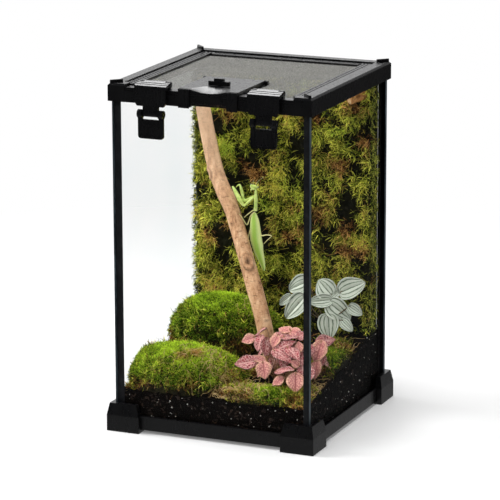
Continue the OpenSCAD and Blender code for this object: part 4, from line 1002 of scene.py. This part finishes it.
def makeSilverPlant(rng):
    centre = np.array(silver["centre"]) * mm
    crown = centre - np.array([0, 0, 22 * mm])
    plane = spun((silver["turn"], "Z"), (silver["tilt"], "X"))
    root = np.array([*silver["root"], 0]) * mm
    root[2] = soilAt(root[1])
    trunk = smoothPath([root, (root + crown) / 2 + (0.8 * mm, 0, 0), crown], 6)
    leaves, stems = [], [tube(trunk, 1.3 * mm, 10, flatWay=(1, 0.2, 0))]
    for x, y, heading, length, width in silver["leaves"]:
        points, place = leafShape(length * mm, width * silver["broad"] * mm, silver, rng)
        lean = spun((rng.uniform(-6, 6), "Y"), (rng.uniform(-6, 6), "X"))
        turn = plane @ spun((heading, "Z")) @ lean
        base = centre + np.array(plane @ Vector((x * mm, y * mm, 0)))
        leaves.append((placed(points, turn, base), place))
        mid = (crown + base) / 2 + np.array([0, -2.5 * mm, -1 * mm])
        into = base + np.array(turn @ Vector((0.1 * length * mm, 0, -0.9 * mm)))
        stems.append(tube(smoothPath([crown, mid, base, into], 6), 0.6 * mm, 8,
                          flatWay=(0.3, 1, 0.1)))
    leavesPiece("silver_plant", leaves, silver, makeSilverFinish(), "silver_leaf",
                "silver_plant", stems, makeStemFinish("silverStem", silver))


def makePinkPlant(rng):
    root = np.array([*pink["centre"], 0]) * mm
    root[2] = soilAt(root[1])
    leaves, stems = [], []
    for x, y, z, heading, pitch, roll, longShare, wideShare in pink["leaves"]:
        base = np.array([x, y, z]) * mm
        turn = spun((heading, "Z"), (-pitch, "Y"), (roll, "X"))
        length, width = pink["length"] * longShare * mm, pink["width"] * wideShare * mm
        points, place = leafShape(length, width, pink, rng)
        leaves.append((placed(points, turn, base), place))
        foot = root + (base - root) * (0.06, 0.06, 0)
        mid = root * 0.45 + base * 0.55 + np.array([0, 0, 2.5 * mm])
        into = placed(np.array([[length * 0.12, 0, -0.3 * mm]]), turn, base)[0]
        stems.append(tube(smoothPath([foot, mid, base, into], 6), 0.55 * mm, 7,
                          flatWay=(0.3, 0.2, 1)))
    leavesPiece("pink_plant", leaves, pink, makePinkFinish(), "pink_leaf", "pink_plant",
                stems, makeStemFinish("pinkStem", pink))


makeSilverPlant(seeded(51))
makePinkPlant(seeded(52))
print("plants made")

# Mantis

mantis = {  # knots and radii in millimetres
    "skin": (paint(166, 190, 84), paint(216, 228, 142)),
    "limb": (paint(186, 178, 112), paint(222, 214, 156)),
    "eye": (paint(120, 124, 84), paint(186, 190, 140)),
    "wingMid": paint(150, 184, 76), "wingEdge": paint(204, 216, 140),
    "soft": {"Subsurface Weight": 0.12, "Subsurface Scale": 0.002},
    "back": [(-2.9, 12, 198.3), (-2.6, 12, 191.4), (-2.2, 12, 185.1), (-1.3, 12.5, 172.3),
             (0.1, 12.5, 166.1), (1.3, 13, 159.7), (3.3, 13, 153.6), (5.2, 13.5, 147.2),
             (6.6, 13.5, 141)],
    "backHalf": [1.6, 4.5, 5.3, 6.2, 6.0, 5.0, 4.0, 2.8, 1.0], "backFlat": 0.45,
    "backSides": 36, "overlap": 0.22,
    "thorax": [(-1.7, 12, 200.4), (-1.2, 11.6, 207.4), (-0.9, 11.3, 215.1), (-0.7, 11, 221.8)],
    "head": [(-5.8, 10.5, 226.2), (1.7, 10.8, 224.3), (-6.0, 10.5, 220.6)],  # two eyes and chin
    "nape": (-1, 11, 222.4),
    "arms": [[(-2.9, 11, 214.1), (-8, 10, 209.1), (-12.7, 9.2, 204.7), (-18.6, 9, 213.7),
              (-24.4, 8.8, 223.4)],
             [(-3.4, 12.5, 214.6), (-12.4, 12.5, 209.4), (-14.3, 12.2, 211.2),
              (-16.1, 12, 218.1), (-17.6, 11.8, 224.9)]],
    "thighs": [[1.1, 2.3, 2.0, 0.8], [0.9, 1.5, 1.4, 0.6]],
    "claws": [[(-24.4, 8.8, 223.4), (-21.6, 8.8, 217.6), (-17.4, 8.9, 210.8)],
              [(-17.6, 11.8, 224.9), (-19.8, 11.3, 224.2), (-21.7, 10.8, 221.9)]],
    "legs": [[(-2.4, 11.8, 199), (-6.4, 11.5, 195), (-8.2, 11, 189.8), (-10.1, 10, 186.1),
              (-14.4, 9, 192.9), (-17.8, 8.5, 197.1)],
             [(-2.4, 12.4, 201), (-5, 12.5, 200), (-9.6, 12, 196.2), (-13.2, 11, 192.9)],
             [(-1, 12, 186), (3.8, 12, 176.7), (9.7, 12.2, 177.3), (14.9, 12.4, 176.7),
              (10.6, 12.4, 172.2), (6.9, 12.2, 168.1)],
             [(-4, 12, 188), (-7.3, 12, 180.8), (-8, 11, 177.1), (-8.3, 10, 172.9)]],
    "feelers": [[(-0.9, 10.6, 225), (0.6, 10.3, 228.6), (2.7, 10, 230.8), (7.9, 9.6, 235.3)],
                [(-3.4, 10.6, 225.6), (-3.2, 10.2, 229), (-2.6, 9.8, 232)]],
}


def blob(centre, sizes, taper=0.0, rings=14, sides=20):  # rounded lump; taper narrows its foot
    points = []
    for r in range(rings + 1):
        up = math.pi * (0.02 + 0.96 * r / rings)
        z = -math.cos(up)
        wide = math.sin(up) * (1 + taper * z)
        for s in range(sides):
            turn = 2 * math.pi * s / sides
            ring = (wide * math.cos(turn), wide * math.sin(turn), z)
            points.append(centre + np.array(sizes) * ring)
    ends = [tuple(range(sides))[::-1], tuple(rings * sides + s for s in range(sides))]
    return np.array(points), gridFaces(rings + 1, sides, around=True) + ends


def limb(knots, radii, sides=12, steps=5):
    path = smoothPath(knots, steps)
    spots = np.linspace(0, 1, len(path))
    return tube(path, np.interp(spots, np.linspace(0, 1, len(radii)), radii), sides,
                flatWay=(0.1, 1, 0.2))


def makeMantisBody():
    left, right, chin = (np.array(p, float) for p in mantis["head"])
    middle = (left + right + chin) / 3
    skin = [limb(mantis["thorax"], [1.9, 1.7, 1.9, 1.5, 1.1], 16),
            limb([mantis["thorax"][-1], mantis["nape"]], [1.1, 1.2], 12),
            blob(middle, (3.2, 1.6, 2.7), 0.5),
            limb([left, middle + (0, 0, 1.2), right], [0.9, 1.5, 0.9], 14),
            limb([middle, chin], [1.5, 0.6], 12)]
    thin = []
    for arm, thigh, claw, turned in zip(mantis["arms"], mantis["thighs"], mantis["claws"], (1, -1)):
        arm = np.array(arm, float)
        skin += [limb(arm[:3], [1.1, 1.3, 1.2], 14), limb(arm[2:], thigh, 16),
                 limb(claw, [0.7, 0.6, 0.25], 10)]
        run, inner = arm[-1] - arm[2], np.array([0.86, -0.1, -0.5]) * turned
        for k in range(7):  # spines along the thigh
            start = arm[2] + run * (0.25 + 0.09 * k) + inner * 0.9
            thin.append(limb([start, start + inner * 1.6 + (0, 0, 0.5)], [0.22, 0.05], 5, 2))
    for knots in mantis["legs"]:
        thin.append(limb(knots, np.linspace(0.75, 0.3, len(knots)), 8))
    for knots in mantis["feelers"]:
        thin.append(limb(knots, [0.25, 0.2, 0.1], 6))
    eyes = [blob(left + (0.6, 0, -0.2), (1.0, 1.1, 1.3)),
            blob(right + (-0.6, 0, -0.2), (1.0, 1.1, 1.3))]
    groups = [merge(skin), merge(thin), merge(eyes)]
    points, faces = merge(groups)
    looks = [makeSimple("mantisSkin", *mantis["skin"], 260, (0.4, 0.55), 1500, 0.08 * mm,
                        mantis["soft"]),
             makeSimple("mantisLimb", *mantis["limb"], 300, (0.4, 0.55), 1500, 0.05 * mm),
             makeSimple("mantisEye", *mantis["eye"], 800, (0.15, 0.25), 2500, 0.02 * mm)]
    body = makePiece("mantis_body", points * mm, faces, looks, "mantis",
                     faceFinish=np.repeat([0, 1, 2], [len(group[1]) for group in groups]))
    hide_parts("mantis_figure")


def makeMantisWings():
    # abdomen under folded wings: a flattened tube, green along the back and paler at the edges
    path, sides = smoothPath(mantis["back"], 6), mantis["backSides"]
    spots = np.linspace(0, 1, len(path))
    half = np.interp(spots, np.linspace(0, 1, len(mantis["backHalf"])), mantis["backHalf"])
    points, faces = tube(path, half, sides, flat=mantis["backFlat"])
    middle, half = np.repeat(path, sides, 0), np.repeat(half, sides)
    aside = points[:, 0] - middle[:, 0]
    lapped = np.clip(aside / (0.16 * half), -1, 1)      # one wing over the other
    points[:, 1] -= mantis["overlap"] * lapped * (points[:, 1] < middle[:, 1])
    material = startMaterial("mantisWing", {"Roughness": 0.38, **mantis["soft"]})
    veins = swing(cloud(500, 3, stretch=(1, 1, 0.12)), 0.5)
    edge = plus(held("aside").outputs["Fac"], veins)
    surface(ramp(edge, [(0.25, mantis["wingMid"]), (0.8, mantis["wingEdge"])]),
            cloud(1100, 3, stretch=(1, 1, 0.1)), 0.2 * mm)
    makePiece("mantis_wings", points * mm, faces, [material], "mantis",
              carried={"aside": np.abs(aside) / half})


makeMantisBody()
makeMantisWings()
print("mantis made")

# Woven screen

screen = {
    "pitch": 2.4 * mm, "wire": 0.2 * mm, "wave": 0.12 * mm, "level": 335.4 * mm, "sides": 4,
    "half": 79.7 * mm, "front": -92.1 * mm, "rear": 79.7 * mm,   # the net under the lid's bars
    "portHalf": 33.4 * mm, "portRear": -32.8 * mm,               # kept free for the feeding port
}


def makeScreen():
    pitch, reach = screen["pitch"], math.floor(screen["half"] / screen["pitch"])
    xs = np.arange(-reach, reach + 1) * pitch
    ys = np.arange(math.ceil(screen["front"] / pitch),
                   math.floor(screen["rear"] / pitch) + 1) * pitch
    inPort = (np.abs(xs)[None, :] < screen["portHalf"]) & (ys[:, None] < screen["portRear"])
    parts = []

    def weave(line, fixed, alongX, parity, skipped):
        run = []
        for index, value in enumerate([*line, None]):
            if value is None or skipped[index]:
                if len(run) > 2:
                    parts.append(tube(run, screen["wire"], screen["sides"], flatWay=(0, 0, 1)))
                run = []
                continue
            lift = screen["wave"] * (1 if (index + parity) % 2 else -1)
            run.append((value, fixed, screen["level"] + lift) if alongX
                       else (fixed, value, screen["level"] - lift))

    for row, y in enumerate(ys):
        weave(xs, y, True, row, inPort[row])
    for column, x in enumerate(xs):
        weave(ys, x, False, column, inPort[:, column])
    piece = makePiece("screen_weave", *merge(parts), [finishes["screen_wire"]], "screen_wire",
                      body="lid")
    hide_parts("screen_left", "screen_right", "screen_rear")


makeScreen()
print("screen woven")

# Stage, light and camera

studio = {
    "floorShade": 0.85,        # share of the floor near the tank that takes light and shadow
    "floorLevel": 0.5,         # its colour, so that an unshaded floor comes out just white
    "floorMirror": (0.2, 0.03),    # how bright the floor is in glossy surfaces, near and far
    "floorHalf": 40.0,
    "ambient": 0.42,
    "frontMirror": 0.03, "rearMirror": 0.68, "rightMirror": 0.1,
    "lamps": [  # name, place, size, watts, seen in glossy surfaces
        ("keySoftbox", (-1.45, -0.25, 1.75), 0.9, 66, False),
        ("topSoftbox", (0.1, 0.05, 2.2), 0.9, 52, False),
        ("frontSoftbox", (-0.2, -2.2, 1.5), 1.3, 30, False),
        ("rearSoftbox", (-0.6, 1.4, 1.6), 0.8, 8, True),
    ],
}
camera = {
    "azimuth": 23.17, "elevation": 13.97, "distance": 2.9583, "target": (-0.0024, 0.0, 0.1639),
    "lens": 220.41, "sensor": 36.0, "roll": -0.154, "clip": (0.1, 100),
}


def white(kind, strength):  # a background or emission
    return add(kind, {"Color": grey(1), "Strength": strength}).outputs[0]


def aim(holder, place, way):
    holder.location = place
    holder.rotation_mode = "QUATERNION"
    holder.rotation_quaternion = way.to_track_quat("-Z", "Y")


def makeWorld():
    bpy.context.scene.world = clearTree(bpy.data.worlds.new("studioWorld"))
    rays = add("LightPath").outputs
    way = add("SeparateXYZ", {0: add("TexCoord").outputs["Generated"]}).outputs
    mirror = times(span(way["Y"], -0.1, 0.55, studio["frontMirror"], studio["rearMirror"]),
                   span(way["X"], -0.1, 0.3, 1, studio["rightMirror"]))
    direct = calc("MAXIMUM", rays["Is Camera Ray"], rays["Is Transmission Ray"])
    room = blend(rays["Is Glossy Ray"], white("Background", studio["ambient"]),
                 white("Background", mirror))
    whole = blend(direct, room, white("Background", 1.0))
    add("OutputWorld", {"Surface": whole})


def makeFloor():
    material = clearTree(bpy.data.materials.new("paleFloor"))
    level = studio["floorLevel"]
    lit = add("BsdfDiffuse", {"Color": patchy(3, 2, grey(level * 0.99), grey(level))})
    away = add("VectorMath", {0: add("NewGeometry").outputs["Position"]},
               operation="LENGTH").outputs["Value"]
    shown = blend(span(away, 0.35, 0.9, studio["floorShade"], 0),
                  white("Emission", 1.0), lit.outputs[0])
    mirrored = white("Emission", span(away, 0.1, 0.9, *studio["floorMirror"]))
    whole = blend(add("LightPath").outputs["Is Glossy Ray"], shown, mirrored)
    add("OutputMaterial", {"Surface": whole})
    mesh = bpy.data.meshes.new("studioFloor")
    far = studio["floorHalf"]
    mesh.from_pydata([(-far, -far, 0), (far, -far, 0), (far, far, 0), (-far, far, 0)], [],
                     [(0, 1, 2, 3)])
    mesh.materials.append(material)
    floor = placeObject("studioFloor", mesh)


def makeLamps():
    for name, place, size, watts, mirrored in studio["lamps"]:
        lamp = bpy.data.lights.new(name, "AREA")
        lamp.shape, lamp.size, lamp.energy = "SQUARE", size, watts
        holder = placeObject(name, lamp)
        aim(holder, place, Vector(camera["target"]) - Vector(place))
        holder.visible_glossy = mirrored


def makeCamera():
    a, e = math.radians(camera["azimuth"]), math.radians(camera["elevation"])
    back = Vector((math.sin(a) * math.cos(e), -math.cos(a) * math.cos(e), math.sin(e)))
    data = bpy.data.cameras.new("photoCamera")
    data.lens, data.sensor_width = camera["lens"], camera["sensor"]
    data.clip_start, data.clip_end = camera["clip"]
    holder = placeObject("photoCamera", data)
    aim(holder, Vector(camera["target"]) + back * camera["distance"], -back)
    roll = Matrix.Rotation(math.radians(camera["roll"]), 3, "Z").to_quaternion()
    holder.rotation_quaternion = holder.rotation_quaternion @ roll
    bpy.context.scene.camera = holder


makeWorld()
makeFloor()
makeLamps()
makeCamera()
bpy.context.scene.view_settings.view_transform = "Standard"
print("studio ready")
